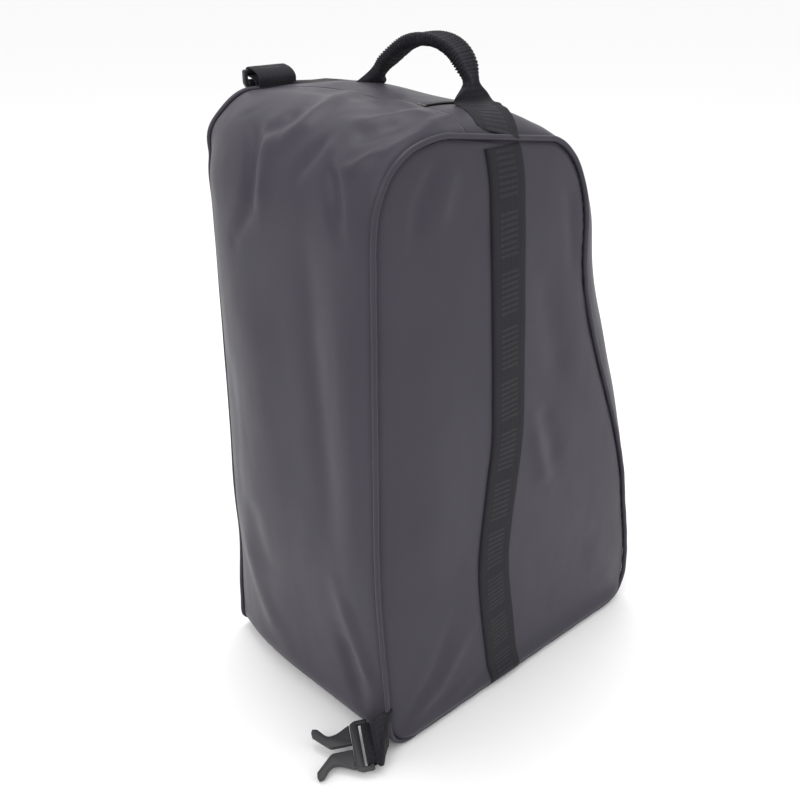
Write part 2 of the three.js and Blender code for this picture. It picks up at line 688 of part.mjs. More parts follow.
function makeTabs() {
  makeLowerTab();
  const lower = new THREE.Group();
  place(lower, BUCKLE_OUT, BUCKLE_WIDTH, BUCKLE.clone().addScaledVector(BUCKLE_OUT, -LOOP).toArray());
  makeTab("lower_loop", LOWER_LINE, lower);
  const lowerBuckle = new THREE.Group();
  lowerBuckle.position.set(LOOP, 0, 0);
  lower.add(lowerBuckle);
  makeBuckle("lower_buckle", lowerBuckle);
  // Upper tab: rises beside the back seam and turns over backwards, the buckle hanging from it
  const upper = new THREE.Group();
  place(upper, new THREE.Vector3(0, 0, 1), new THREE.Vector3(1, 0, 0), UPPER.at);
  makeTab("upper_tab", UPPER_LINE, upper);
  const upperBuckle = new THREE.Group();
  upperBuckle.position.set(UPPER.height, 0, 13);
  upperBuckle.rotation.y = -Math.PI;
  upper.add(upperBuckle);
  makeBuckle("upper_buckle", upperBuckle);
}

function place(group, x, y, at) {
  group.matrixAutoUpdate = false;
  group.matrix.makeBasis(x, y, x.clone().cross(y)).setPosition(...at);
  bag.add(group);
}

makeBody();
makeLining();
makeFlap();
makeZip();
makeSlider();
makeStraps();
makeHandle();
makeTabs();

export default bag;
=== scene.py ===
"""Riding boot bag: the visual model, its materials and a soft studio. Millimetres in the
geometry functions, metres in Blender. The front faces -Y and the toe side is +X."""
import math

import bmesh
import bpy
import numpy as np
from mathutils import Matrix, Vector


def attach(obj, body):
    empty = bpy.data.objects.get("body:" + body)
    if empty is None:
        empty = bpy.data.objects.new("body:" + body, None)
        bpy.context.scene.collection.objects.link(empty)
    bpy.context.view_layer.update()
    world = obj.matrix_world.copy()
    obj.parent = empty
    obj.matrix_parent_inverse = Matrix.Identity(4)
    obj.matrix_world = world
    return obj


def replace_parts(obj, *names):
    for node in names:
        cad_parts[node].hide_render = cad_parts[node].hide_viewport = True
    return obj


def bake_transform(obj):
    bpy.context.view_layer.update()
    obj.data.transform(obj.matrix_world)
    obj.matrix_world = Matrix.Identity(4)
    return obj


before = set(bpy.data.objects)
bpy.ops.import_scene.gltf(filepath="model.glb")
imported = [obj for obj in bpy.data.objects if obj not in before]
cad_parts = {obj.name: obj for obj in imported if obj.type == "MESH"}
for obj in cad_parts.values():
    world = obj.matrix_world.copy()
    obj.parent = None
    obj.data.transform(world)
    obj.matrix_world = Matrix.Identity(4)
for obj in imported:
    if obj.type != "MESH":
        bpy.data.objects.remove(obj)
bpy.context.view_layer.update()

# Driving dimensions, the same as the CAD source
DEPTH = 230.0
FRONT_Y = -DEPTH / 2
BACK_Y = DEPTH / 2
SEAM_RISE = 3.4
PIPING_R = 2.2
WEBBING = 38.0
WEBBING_THICK = 1.4
HANDLE_X = -50.0
FOLD_X = 4.0
HEEL_X = -142.0
TOE_X = 136.0
ZIP_START_X = -90.0
STRIP_END = 38.0
ZIP_MIDDLE = 46.0
REAR_START = 54.0
FRONT_POWER = 8
REAR_POWER = 3
TOP_SHIFT = 10.0
FRONT_FOOT = 45.0
REAR_FOOT = 78.0

# How far the gusset stands out at places on the front seam: x, z, halfway back, at the back
SWELLS = [
    (-60, SEAM_RISE, SEAM_RISE, 0),
    (HEEL_X, SEAM_RISE, SEAM_RISE, -3),
    (-168, 30, 3, -14),
    (-174, 120, 4, -25),
    (-180, 230, 4, -29),
    (-180, 430, 5, -29),
    (-170, 482, 6, -25),
    (-150, 501, 8, -8),
    (-112, 511, 12, 8),
    (-60, 505, 19, 16),
    (-22, 499, 19, 19),
    (14, 491, 8, 18),
    (38, 458, 27, 32),
    (54, 395, 44, 42),
    (80, 316, 43, 38),
    (106, 253, 39, 32),
    (135, 186, 31, 24),
    (150, 129, 22, 14),
    (162, 60, 7, 4),
    (TOE_X, SEAM_RISE, SEAM_RISE, 0),
    (60, SEAM_RISE, SEAM_RISE, 0),
]


# ---- The seam outline

def bezier(*points, count=60):
    """Points along a line, quadratic or cubic curve, without its first point."""
    t = np.linspace(0, 1, count + 1)[1:, None]
    p = np.array(points, float)
    n = len(p) - 1
    return sum(math.comb(n, i) * t**i * (1 - t) ** (n - i) * p[i] for i in range(n + 1))


def seam_outline():
    """The front panel's seam (x, z): from the base at the fold round the heel, top and toe."""
    foot = (FOLD_X, SEAM_RISE)
    parts = [
        np.array([foot]),
        bezier(foot, (HEEL_X, SEAM_RISE)),
        bezier((HEEL_X, SEAM_RISE), (-166, SEAM_RISE), (-168, 30)),
        bezier((-168, 30), (-172, 95), (-180, 145), (-180, 215)),
        bezier((-180, 215), (-180, 440)),
        bezier((-180, 440), (-180, 490), (-158, 511), (-112, 511)),
        bezier((-112, 511), (FOLD_X, 495)),
        bezier((FOLD_X, 495), (31, 487), (54, 455), (54, 405)),
        bezier((54, 405), (54, 330), (128, 235), (148, 140)),
        bezier((148, 140), (155, 100), (166, 72), (166, 38)),
        bezier((166, 38), (166, SEAM_RISE), (TOE_X, SEAM_RISE)),
        bezier((TOE_X, SEAM_RISE), foot),
    ]
    return np.vstack(parts)


def lengths_along(points):
    """The distance along a path of points to each of them."""
    return np.concatenate([[0], np.cumsum(np.linalg.norm(np.diff(points, axis=0), axis=1))])


def resample(points, length, at):
    """The path's points at the distances at; length is from lengths_along."""
    return np.stack([np.interp(at, length, points[:, k]) for k in range(points.shape[1])], axis=1)


def even_outline(count=3000):
    """The outline in count even steps, and its whole length."""
    rough = seam_outline()
    length = lengths_along(rough)
    at = np.linspace(0, length[-1], count + 1)
    return resample(rough, length, at), length[-1]


OUTLINE, PERIMETER = even_outline()
OUTLINE_U = np.linspace(0, PERIMETER, len(OUTLINE))


def smooth_ring(values, width):
    """Smooths values along the closed outline over about width mm."""
    n = max(1, int(width / PERIMETER * len(values)))
    kernel = np.hanning(2 * n + 3)
    kernel /= kernel.sum()
    ends = len(kernel) // 2
    ring = np.concatenate([values[-ends - 1:-1], values, values[1:ends + 1]])
    return np.convolve(ring, kernel, mode="valid")


def outline_normals():
    step = np.gradient(OUTLINE, axis=0)
    normal = np.stack([-step[:, 1], step[:, 0]], axis=1)
    normal = np.stack([smooth_ring(normal[:, k], 9) for k in (0, 1)], axis=1)
    return normal / np.linalg.norm(normal, axis=1)[:, None]


OUTLINE_N = outline_normals()


def nearest_u(x, z):
    return OUTLINE_U[np.argmin(np.hypot(OUTLINE[:, 0] - x, OUTLINE[:, 1] - z))]


def smoothstep(x, low, high):
    t = np.clip((np.asarray(x, float) - low) / (high - low), 0, 1)
    return t * t * (3 - 2 * t)


def swell_table():
    """The swell halfway back and at the back, for every point of the outline."""
    at = [nearest_u(x, z) for x, z, _, _ in SWELLS]
    tables = []
    for column in (2, 3):
        values = [row[column] for row in SWELLS]
        out = np.full(len(OUTLINE_U), float(values[0]))
        for i in range(len(at) - 1):
            inside = OUTLINE_U >= at[i]
            share = smoothstep(OUTLINE_U, at[i], at[i + 1])
            out[inside] = (values[i] + (values[i + 1] - values[i]) * share)[inside]
        tables.append(smooth_ring(out, 22))
    return tables


SWELL_MIDDLE, SWELL_BACK = swell_table()


def seam(u, out=0.0):
    """Points (x, z) on the front seam, moved outwards."""
    x, z, nx, nz = (np.interp(u, OUTLINE_U, c) for c in (*OUTLINE.T, *OUTLINE_N.T))
    size = np.hypot(nx, nz)
    return np.stack([x + nx / size * out, z + nz / size * out], axis=-1)


def back_seam(u, out=0.0):
    return seam(u, np.interp(u, OUTLINE_U, SWELL_BACK) + out)


def rise(u, y):
    """How far out the gusset's surface is from the front seam."""
    middle = np.interp(u, OUTLINE_U, SWELL_MIDDLE)
    back = np.interp(u, OUTLINE_U, SWELL_BACK)
    front = middle * (1 - np.abs(y / FRONT_Y) ** FRONT_POWER)
    rear = middle + (back - middle) * np.abs(y / BACK_Y) ** REAR_POWER
    return np.where(y < 0, front, rear)


SECTION_Y = np.linspace(FRONT_Y, BACK_Y, 461)


def section_depths(u, s):
    """The depth (Y) at each distance s over the surface from the front seam, for one u."""
    h = rise(u, SECTION_Y)
    length = np.concatenate([[0], np.cumsum(np.hypot(np.diff(SECTION_Y), np.diff(h)))])
    return np.interp(np.where(s < 0, length[-1] + s, s), length, SECTION_Y)


def gusset_points(u, y):
    out = rise(u, y)
    flat = seam(u, out)
    return np.stack([flat[..., 0], y, flat[..., 1]], axis=-1)


def zip_shift(u, s):
    """How much further back than s a place on the zip side lies: the zip drifts over the top."""
    along = TOP_SHIFT * (1 - smoothstep(u, U_FOLD, U_FOLD + 130))
    across = smoothstep(s, 0, STRIP_END) * (1 - smoothstep(s, 62, 140))
    return along * np.where(np.asarray(s) < 0, 0, across)


def gusset_grid(us, ss):
    """Grids of u and depth. ss are distances over the surface from the front seam, and negative
    ones are from the back seam."""
    ys = np.array([section_depths(u, ss + zip_shift(u, ss)) for u in us])
    uu = np.repeat(us[:, None], len(ss), axis=1)
    return uu, ys


def grid_normals(points):
    du = np.gradient(points, axis=0)
    dv = np.gradient(points, axis=1)
    n = np.cross(du, dv)
    return n / np.maximum(np.linalg.norm(n, axis=-1, keepdims=True), 1e-9)


U_HEEL = nearest_u(HEEL_X, SEAM_RISE)
U_ZIP = nearest_u(ZIP_START_X, 509)
U_HANDLE = nearest_u(HANDLE_X, 502)
U_FOLD = nearest_u(FOLD_X, 495)
U_TOE = nearest_u(TOE_X, SEAM_RISE)


# ---- Meshes

UV_UNIT = 10  # mm of surface for one unit of a UV map


def mesh_object(name, verts, faces, mat, uvs=None):
    mesh = bpy.data.meshes.new(name)
    mesh.from_pydata((np.asarray(verts) / 1000).tolist(), [], faces)
    if uvs is not None:
        layer = mesh.uv_layers.new(name="UVMap")
        loops = np.empty(len(mesh.loops), int)
        mesh.loops.foreach_get("vertex_index", loops)
        layer.data.foreach_set("uv", np.asarray(uvs)[loops].ravel())
    mesh.validate()
    mesh.polygons.foreach_set("use_smooth", [True] * len(mesh.polygons))
    obj = bpy.data.objects.new(name, mesh)
    bpy.context.scene.collection.objects.link(obj)
    mesh.materials.append(mat)
    return obj


def grid_faces(rows, columns, offset=0, flip=False, loop_columns=False):
    faces = []
    last = columns if loop_columns else columns - 1
    for i in range(rows - 1):
        for j in range(last):
            k = (j + 1) % columns
            quad = (i * columns + j, (i + 1) * columns + j, (i + 1) * columns + k, i * columns + k)
            quad = tuple(q + offset for q in quad)
            faces.append(quad[::-1] if flip else quad)
    return faces


def sheet_object(name, outer, thick, mat, uvs=None, normals=None):
    """A closed sheet: outer is a grid of points, the other face lies thick under it."""
    rows, columns = outer.shape[:2]
    if normals is None:
        normals = grid_normals(outer)
    inner = outer - normals * thick
    verts = np.concatenate([outer.reshape(-1, 3), inner.reshape(-1, 3)])
    n = rows * columns
    faces = grid_faces(rows, columns) + grid_faces(rows, columns, n, flip=True)
    for i in range(rows - 1):
        a, b = i * columns, (i + 1) * columns
        faces.append((a, a + n, b + n, b))
        a, b = a + columns - 1, b + columns - 1
        faces.append((a, b, b + n, a + n))
    for j in range(columns - 1):
        a, b = j, j + 1
        faces.append((a, b, b + n, a + n))
        a, b = (rows - 1) * columns + j, (rows - 1) * columns + j + 1
        faces.append((a, a + n, b + n, b))
    if uvs is not None:
        uvs = np.concatenate([uvs.reshape(-1, 2)] * 2)
    return mesh_object(name, verts, faces, mat, uvs)


def sweep(name, points, section, side, mat, closed=False):
    """Sweeps a section (a grid [point, corner, (across, out)]) along points. side is the
    direction of the section's across axis, one for all or one for each point."""
    points = np.asarray(points, float)
    n = len(points)
    along = (np.roll(points, -1, 0) - np.roll(points, 1, 0)) if closed else np.gradient(points, axis=0)
    along /= np.linalg.norm(along, axis=1)[:, None]
    side = np.broadcast_to(np.asarray(side, float), points.shape)
    out = np.cross(along, side)
    out /= np.linalg.norm(out, axis=1)[:, None]
    across = np.cross(out, along)
    section = np.broadcast_to(section, (n, *np.shape(section)[-2:]))
    rings = (points[:, None] + across[:, None] * section[..., :1] + out[:, None] * section[..., 1:])
    m = section.shape[1]
    faces = grid_faces(n, m, loop_columns=True)
    if closed:
        last = (n - 1) * m
        faces += [(last + j, j, (j + 1) % m, last + (j + 1) % m) for j in range(m)]
    else:
        faces += [tuple(range(m)), tuple(range((n - 1) * m, n * m))[::-1]]
    lengths = lengths_along(points)
    down = np.repeat(lengths[:, None], m, 1)
    uvs = np.stack([down, section[..., 0] + 0 * down], axis=-1)
    obj = mesh_object(name, rings.reshape(-1, 3), faces, mat, uvs.reshape(-1, 2) / UV_UNIT)
    recalculate_normals(obj)
    return obj


def recalculate_normals(obj):
    bm = bmesh.new()
    bm.from_mesh(obj.data)
    bmesh.ops.recalc_face_normals(bm, faces=bm.faces)
    bm.to_mesh(obj.data)
    bm.free()


def round_section(radius):
    a = np.linspace(0, 2 * np.pi, 14, endpoint=False)
    return np.stack([radius * np.cos(a), radius * np.sin(a)], axis=1)


def band_angles(sides):
    return np.linspace(0, 2 * np.pi, sides, endpoint=False) + np.pi / sides


def squared(value, power):
    """A cosine or sine, pushed towards 1 or -1 so that a circle becomes a rounded box."""
    return np.sign(value) * np.abs(value) ** power


# ---- Materials

def material(name, color, roughness, specular=0.4, metallic=0.0):
    mat = bpy.data.materials.new(name)
    mat.use_nodes = True
    shader = mat.node_tree.nodes["Principled BSDF"]
    shader.inputs["Base Color"].default_value = (*color, 1)
    shader.inputs["Roughness"].default_value = roughness
    shader.inputs["Specular IOR Level"].default_value = specular
    shader.inputs["Metallic"].default_value = metallic
    return mat


def node(mat, kind, inputs=None, **settings):
    """Adds a node. inputs maps an input's name or number to a value or another node's output."""
    made = mat.node_tree.nodes.new(kind)
    for key, value in settings.items():
        setattr(made, key, value)
    for key, value in (inputs or {}).items():
        if isinstance(value, bpy.types.NodeSocket):
            mat.node_tree.links.new(value, made.inputs[key])
        else:
            made.inputs[key].default_value = value
    return made


def wire(mat, name, output):
    shader = mat.node_tree.nodes["Principled BSDF"]
    mat.node_tree.links.new(output, shader.inputs[name])


def maths(mat, operation, a, b=0.0, c=0.0):
    return node(mat, "ShaderNodeMath", {0: a, 1: b, 2: c}, operation=operation).outputs[0]


def noise(mat, scale, detail=2.0, stretch=(1, 1, 1)):
    coords = node(mat, "ShaderNodeTexCoord").outputs["Object"]
    mapped = node(mat, "ShaderNodeMapping", {"Vector": coords, "Scale": stretch}).outputs[0]
    inputs = {"Vector": mapped, "Scale": scale, "Detail": detail}
    return node(mat, "ShaderNodeTexNoise", inputs).outputs["Fac"]


def bump(mat, height, distance, strength=1.0, normal=None):
    inputs = {"Height": height, "Distance": distance, "Strength": strength}
    if normal is not None:
        inputs["Normal"] = normal
    return node(mat, "ShaderNodeBump", inputs).outputs[0]


def between(mat, value, low, high):
    """Maps 0..1 to low..high."""
    return maths(mat, "MULTIPLY_ADD", value, high - low, low)


# The colour sockets of the mix node, by number
MIX_FACTOR = 0
MIX_A = 6
MIX_B = 7
MIX_RESULT = 2


def color_between(mat, factor, a, b):
    """A colour from a to b, for a factor of 0 to 1."""
    inputs = {MIX_FACTOR: factor, MIX_A: (*a, 1), MIX_B: (*b, 1)}
    return node(mat, "ShaderNodeMix", inputs, data_type="RGBA").outputs[MIX_RESULT]


def shell_material():
    """Matt coated fabric: a fine skin grain over a faint weave, with soft handling marks."""
    mat = material("shell", (0.036, 0.0312, 0.045), 0.48, 0.22)
    patches = noise(mat, 9, 4)
    color = color_between(mat, patches, (0.030, 0.0265, 0.0375), (0.039, 0.0345, 0.0485))
    wire(mat, "Base Color", color)
    scuffs = noise(mat, 60, 6, stretch=(1, 1, 0.35))
    wire(mat, "Roughness", between(mat, scuffs, 0.36, 0.56))
    weave = bump(mat, noise(mat, 900, 2, stretch=(1, 1, 0.5)), 0.00012, 0.5)
    grain = bump(mat, noise(mat, 2600, 3), 0.00006, 0.6, weave)
    wire(mat, "Normal", grain)
    shader = mat.node_tree.nodes["Principled BSDF"]
    shader.inputs["Sheen Weight"].default_value = 0.03
    shader.inputs["Sheen Roughness"].default_value = 0.45
    return mat


def lining_material():
    """Plain woven nylon."""
    mat = material("lining", (0.02, 0.02, 0.022), 0.72, 0.3)
    coords = node(mat, "ShaderNodeTexCoord").outputs["Object"]
    threads = []
    for direction in ("X", "Z"):
        inputs = {"Vector": coords, "Scale": 260, "Distortion": 0.4}
        threads.append(node(mat, "ShaderNodeTexWave", inputs, bands_direction=direction).outputs["Fac"])
    weave = maths(mat, "MULTIPLY", *threads)
    wire(mat, "Normal", bump(mat, weave, 0.0002, 0.8))
    # Painted light: the colour follows the weave's height. It is lighter where the threads rise, as a
    # painted highlight, and darker between them, as painted shade.
    wire(mat, "Base Color", color_between(mat, weave, (0.012, 0.012, 0.014), (0.034, 0.034, 0.038)))
    return mat


FULL_TURN = 6.28318


def uv_axes(mat):
    coords = node(mat, "ShaderNodeUVMap", uv_map="UVMap").outputs[0]
    split = node(mat, "ShaderNodeSeparateXYZ", {0: coords})
    return split.outputs["X"], split.outputs["Y"]


def band_mask(mat, value, center, half):
    """1 within half of center, 0 outside."""
    return maths(mat, "COMPARE", value, center, half)


def webbing_material():
    """Herringbone webbing with a stitched edge and blocks of plain raised bars along the middle."""
    mat = material("webbing_bars", (0.012, 0.0108, 0.0148), 0.72, 0.12)
    along, across = uv_axes(mat)
    zigzag = maths(mat, "PINGPONG", across, 0.28)
    phase = maths(mat, "MULTIPLY", maths(mat, "ADD", along, zigzag), FULL_TURN / 0.11)
    ribs = maths(mat, "MULTIPLY_ADD", maths(mat, "SINE", phase), 0.5, 0.5)
    cross = maths(mat, "MULTIPLY", across, FULL_TURN / 0.09)
    threads = maths(mat, "MULTIPLY_ADD", maths(mat, "SINE", cross), 0.25, 0.25)
    height = maths(mat, "ADD", ribs, threads)
    edge = band_mask(mat, maths(mat, "ABSOLUTE", across), 1.76, 0.06)
    dash = maths(mat, "LESS_THAN", maths(mat, "FRACT", maths(mat, "DIVIDE", along, 0.24)), 0.6)
    stitch = maths(mat, "MULTIPLY", edge, dash)
    height = maths(mat, "MULTIPLY_ADD", stitch, -3.0, height)
    # Painted light: the colour follows the weave's height. Rib tops are lighter, as a painted highlight,
    # and the grooves and stitch holes are darker, as painted shade.
    raised = maths(mat, "MULTIPLY", height, 0.66)
    color = color_between(mat, raised, (0.0085, 0.0078, 0.0108), (0.021, 0.019, 0.026))
    rough = between(mat, ribs, 0.62, 0.85)
    slot = maths(mat, "FRACT", maths(mat, "DIVIDE", along, 0.46))
    bar = maths(mat, "LESS_THAN", maths(mat, "ABSOLUTE", maths(mat, "SUBTRACT", slot, 0.5)), 0.24)
    middle = maths(mat, "LESS_THAN", maths(mat, "ABSOLUTE", across), 0.98)
    block = maths(mat, "LESS_THAN", maths(mat, "FRACT", maths(mat, "DIVIDE", along, 4.6)), 0.8)
    bars = maths(mat, "MULTIPLY", maths(mat, "MULTIPLY", bar, middle), block)
    height = maths(mat, "MULTIPLY_ADD", bars, 2.6, height)
    rough = maths(mat, "MULTIPLY_ADD", bars, -0.3, rough)
    wire(mat, "Base Color", color)
    wire(mat, "Roughness", rough)
    fuzz = bump(mat, noise(mat, 1500, 3), 0.0001, 0.5)
    wire(mat, "Normal", bump(mat, height, 0.00028, 1.0, fuzz))
    shader = mat.node_tree.nodes["Principled BSDF"]
    shader.inputs["Sheen Weight"].default_value = 0.06
    return mat


def tape_material():
    """Ribbed zip tape."""
    mat = material("zip_tape", (0.011, 0.011, 0.012), 0.7, 0.2)
    along, _ = uv_axes(mat)
    ribs = maths(mat, "SINE", maths(mat, "MULTIPLY", along, FULL_TURN / 0.08))
    wire(mat, "Normal", bump(mat, ribs, 0.00012, 0.8))
    lit = between(mat, ribs, 0.5, 0.9)
    wire(mat, "Base Color", color_between(mat, lit, (0.007, 0.007, 0.008), (0.017, 0.017, 0.019)))
    return mat


def plastic_material(name, color, roughness):
    """Moulded plastic with a fine spark texture."""
    mat = material(name, color, roughness, 0.5)
    speckle = noise(mat, 1800, 2)
    wire(mat, "Roughness", between(mat, noise(mat, 90, 4), roughness - 0.07, roughness + 0.09))
    wire(mat, "Normal", bump(mat, speckle, 0.00008, 0.5))
    lighter = tuple(1.3 * c for c in color)
    wire(mat, "Base Color", color_between(mat, noise(mat, 40, 3), color, lighter))
    return mat


def metal_material():
    """Dark painted metal, worn a little on its edges."""
    mat = material("slider_metal", (0.03, 0.03, 0.033), 0.34, 0.5, 0.85)
    geometry = node(mat, "ShaderNodeNewGeometry").outputs["Pointiness"]
    edges = maths(mat, "MULTIPLY", maths(mat, "SUBTRACT", geometry, 0.53), 9)
    worn = node(mat, "ShaderNodeClamp", {0: edges}).outputs[0]
    wire(mat, "Base Color", color_between(mat, worn, (0.035, 0.035, 0.038), (0.25, 0.25, 0.26)))
    wire(mat, "Roughness", between(mat, noise(mat, 200, 4), 0.25, 0.45))
    wire(mat, "Normal", bump(mat, noise(mat, 900, 3), 0.00003, 0.4))
    return mat


SHELL = shell_material()
LINING = lining_material()
WEBBING_FABRIC = webbing_material()
TAPE = tape_material()
COIL = plastic_material("zip_coil", (0.011, 0.011, 0.013), 0.36)
PLASTIC = plastic_material("buckle_plastic", (0.017, 0.0165, 0.019), 0.42)
METAL = metal_material()


# ---- Folds

# The front's fold lines are drawn as x, z on a plane at this depth
FOLD_PLANE_Y = -119

# Each is a group, a line on the surface (mm), its height (a valley's is negative) and its width
FOLDS = [
    # A sharp crease down from the heel's top corner
    ("side", [(-150, 58, 510), (-164, 34, 502), (-174, 22, 491), (-181, 17, 470),
              (-185, 20, 452), (-184, 42, 422)], -4.5, 7),
    ("side", [(-158, 20, 508), (-172, 8, 494), (-182, 4, 470), (-185, 6, 448)], 2.5, 9),
    # The ridge that leaves the handle's rear foot and the dark hollows on each side of it
    ("side", [(-173, 13, 493), (-167, -4, 500), (-155, -14, 511), (-128, -9, 521), (-73, 16, 523)], 3.5, 9),
    ("side", [(-168, 20, 500), (-152, 8, 513), (-136, 10, 519)], -3, 8),
    ("side", [(-178, -34, 480), (-170, -42, 497), (-158, -48, 509)], -3, 6),
    # The pillow's edge from the handle's front foot, hooking down the side
    ("side", [(-165, -53, 502), (-169, -65, 499), (-174, -78, 491),
              (-172, -88, 493), (-157, -103, 505), (-129, -107, 515), (-80, -93, 520)], 3.4, 5),
    ("side", [(-170, -64, 497), (-178, -72, 484), (-182, -79, 472), (-184, -86, 448)], -4, 6),
    ("side", [(-160, -66, 507), (-146, -84, 514), (-123, -96, 519)], -3.5, 9),
    ("side", [(-142, -44, 516), (-139, -66, 517), (-125, -80, 520), (-92, -84, 521)], 2.2, 7),
    ("side", [(-60, 0, 524), (-91, -52, 522), (-106, -86, 520)], 2, 8),
    ("rear", [(-40, 10, 524), (-80, -40, 522)], 1.5, 8),
    # Long soft folds down the heel side
    ("side", [(-184, -52, 460), (-185, -48, 426), (-185, -50, 367),
              (-184, -58, 300), (-184, -62, 205)], -2.6, 12),
    ("side", [(-184, -80, 440), (-184, -84, 360), (-183, -88, 250), (-182, -84, 160)], 2.2, 14),
    ("side", [(-184, 30, 400), (-184, 18, 300), (-182, 6, 180)], 2.5, 26),
    ("side", [(-183, 74, 330), (-181, 80, 230), (-175, 82, 130)], -2.2, 20),
    # The bottom corners
    ("side", [(-182, -68, 156), (-178, -84, 112), (-172, -103, 58)], 3.5, 9),
    ("side", [(-179, -64, 110), (-175, -74, 70), (-170, -84, 34)], -4, 9),
    ("side", [(-176, 82, 150), (-173, 51, 82), (-171, 21, 35)], 2.5, 14),
    ("side", [(-178, 60, 190), (-174, 30, 110)], -2.5, 16),
    # The front
    ("front", [(-117, 500), (-128, 488), (-139, 470), (-145, 440)], -3.2, 7),
    ("front", [(-104, 494), (-114, 478), (-124, 450)], 2.2, 9),
    ("front", [(20, 462), (31, 440), (40, 405), (44, 380)], -2.6, 10),
    ("front", [(-12, 400), (4, 370), (22, 320), (30, 280)], -2.4, 16),
    ("front", [(-6, 262), (4, 235), (14, 205), (26, 190)], 2.6, 9),
    ("front", [(4, 280), (22, 240), (32, 205)], -2.4, 10),
    ("front", [(-160, 14), (-112, 40), (-70, 90)], 2.0, 9),
    ("front", [(-160, 14), (-100, 18), (-58, 30)], 1.6, 7),
    ("front", [(-150, 26), (-116, 62), (-96, 110)], -1.8, 9),
    ("front", [(-128, 330), (-120, 240), (-126, 150)], 2.0, 30),
    ("front", [(90, 110), (110, 70), (150, 30)], 1.8, 16),
]
DOME_AT = (-52, 34)
DOME_RISE = 6.0
DOME_WIDTH = 46.0


def line_field(points, line, width):
    """How near each point is to a line: 1 on it and 0 well away, fading towards its ends."""
    line = np.asarray(line, float)
    spans = np.linalg.norm(np.diff(line, axis=0), axis=1)
    total = spans.sum()
    best = np.full(len(points), 1e9)
    where = np.zeros(len(points))
    start = 0.0
    for a, b, span in zip(line[:-1], line[1:], spans):
        t = np.clip((points - a) @ (b - a) / span**2, 0, 1)
        d = np.linalg.norm(points - (a + t[:, None] * (b - a)), axis=1)
        nearer = d < best
        best = np.where(nearer, d, best)
        where = np.where(nearer, start + t * span, where)
        start += span
    ends = smoothstep(where, -0.01, total * 0.3) * (1 - smoothstep(where, total * 0.7, total + 0.01))
    ends = 0.25 + 0.75 * ends
    return np.exp(-((best / width) ** 2)) * np.where((where <= 0) | (where >= total), 0.25, ends)


def fold_line(line):
    return [(p[0], FOLD_PLANE_Y, p[1]) if len(p) == 2 else p for p in line]


def fold_height(points, group):
    """The displacement of the given grid of points by one group of folds."""
    flat = points.reshape(-1, 3)
    height = np.zeros(len(flat))
    for name, line, size, width in FOLDS:
        if name == group:
            height += size * line_field(flat, fold_line(line), width)
    return height.reshape(points.shape[:-1])


def dome(points):
    """A low rise of the top round the handle's rear foot."""
    away = np.hypot(points[..., 0] - DOME_AT[0], points[..., 1] - DOME_AT[1])
    return DOME_RISE * np.exp(-((away / DOME_WIDTH) ** 2)) * smoothstep(points[..., 2], 480, 505)


WAVES = 7


def undulation(points, size, length, seed):
    """Smooth low waves."""
    rng = np.random.default_rng(seed)
    flat = points.reshape(-1, 3)
    total = np.zeros(len(flat))
    for _ in range(WAVES):
        direction = rng.normal(size=3)
        direction /= np.linalg.norm(direction)
        wave = length * rng.uniform(0.6, 1.6)
        total += np.sin(flat @ direction * 2 * np.pi / wave + rng.uniform(0, 6.28))
    return (size * total / WAVES * 1.6).reshape(points.shape[:-1])


# ---- The gusset's fabric

GUSSET_THICK = 2.6


def gusset_normals(points):
    """The outward normals of a grid on the gusset."""
    normals = grid_normals(points)
    if np.mean(normals[..., 2] * (points[..., 2] - 250)) < 0:
        return -normals
    return normals


def gusset_sheet(name, us, ss, group):
    """A piece of the gusset with its folds, drawn in a little along the two seams."""
    uu, yy = gusset_grid(us, ss)
    points = gusset_points(uu, yy)
    normals = gusset_normals(points)
    height = fold_height(points, group) + undulation(points, 0.7, 120, 3) + dome(points)
    edge = np.minimum(yy - FRONT_Y, BACK_Y - yy)
    height *= smoothstep(edge, 0, 22)
    height -= 1.6 * np.exp(-((edge / 3.2) ** 2))
    height *= smoothstep(points[..., 2], -2, 40) if group == "side" else 1
    points = points + normals * height[..., None]
    points[..., 2] = np.maximum(points[..., 2], 0.0)
    return sheet_object(name, points, GUSSET_THICK, SHELL, normals=normals)


def even(low, high, step):
    return np.linspace(low, high, max(2, int(round((high - low) / step)) + 1))


def side_columns():
    return np.concatenate([even(1.2, 20, 1.2), even(23, 117, 2.6), -even(1.2, 112, 2.6)[::-1]])


def build_gusset():
    side = gusset_sheet("gusset_side", even(U_HEEL, U_ZIP - 0.2, 2.6), side_columns(), "side")
    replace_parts(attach(side, "bag"), "side_gusset")
    columns = np.concatenate(
        [even(REAR_START - 1.5, 62, 1.2), even(65, 117, 2.8), -even(1.2, 100, 2.8)[::-1]]
    )
    rear = gusset_sheet("gusset_toe", even(U_ZIP + 0.2, U_TOE, 2.6), columns, "rear")
    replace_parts(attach(rear, "bag"), "rear_zip_gusset")
    columns = even(1.2, STRIP_END + 1.2, 1.3)
    strip = gusset_sheet("front_strip", even(U_ZIP + 0.2, PERIMETER - 0.5, 2.4), columns, "strip")
    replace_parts(strip, "top_zip_strip", "flap_strip")
    bend(strip)


def bend(obj):
    """Fabric that crosses the flap's fold; this only bakes its transform into its mesh."""
    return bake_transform(obj)


# ---- Front and back panels

PANEL_INSET = PIPING_R
PANEL_THICK = 2.8
# How far each panel reaches down past its lower seam line, where it closes on the base
HEM_FRONT = 1.5
HEM_BACK = 2.6


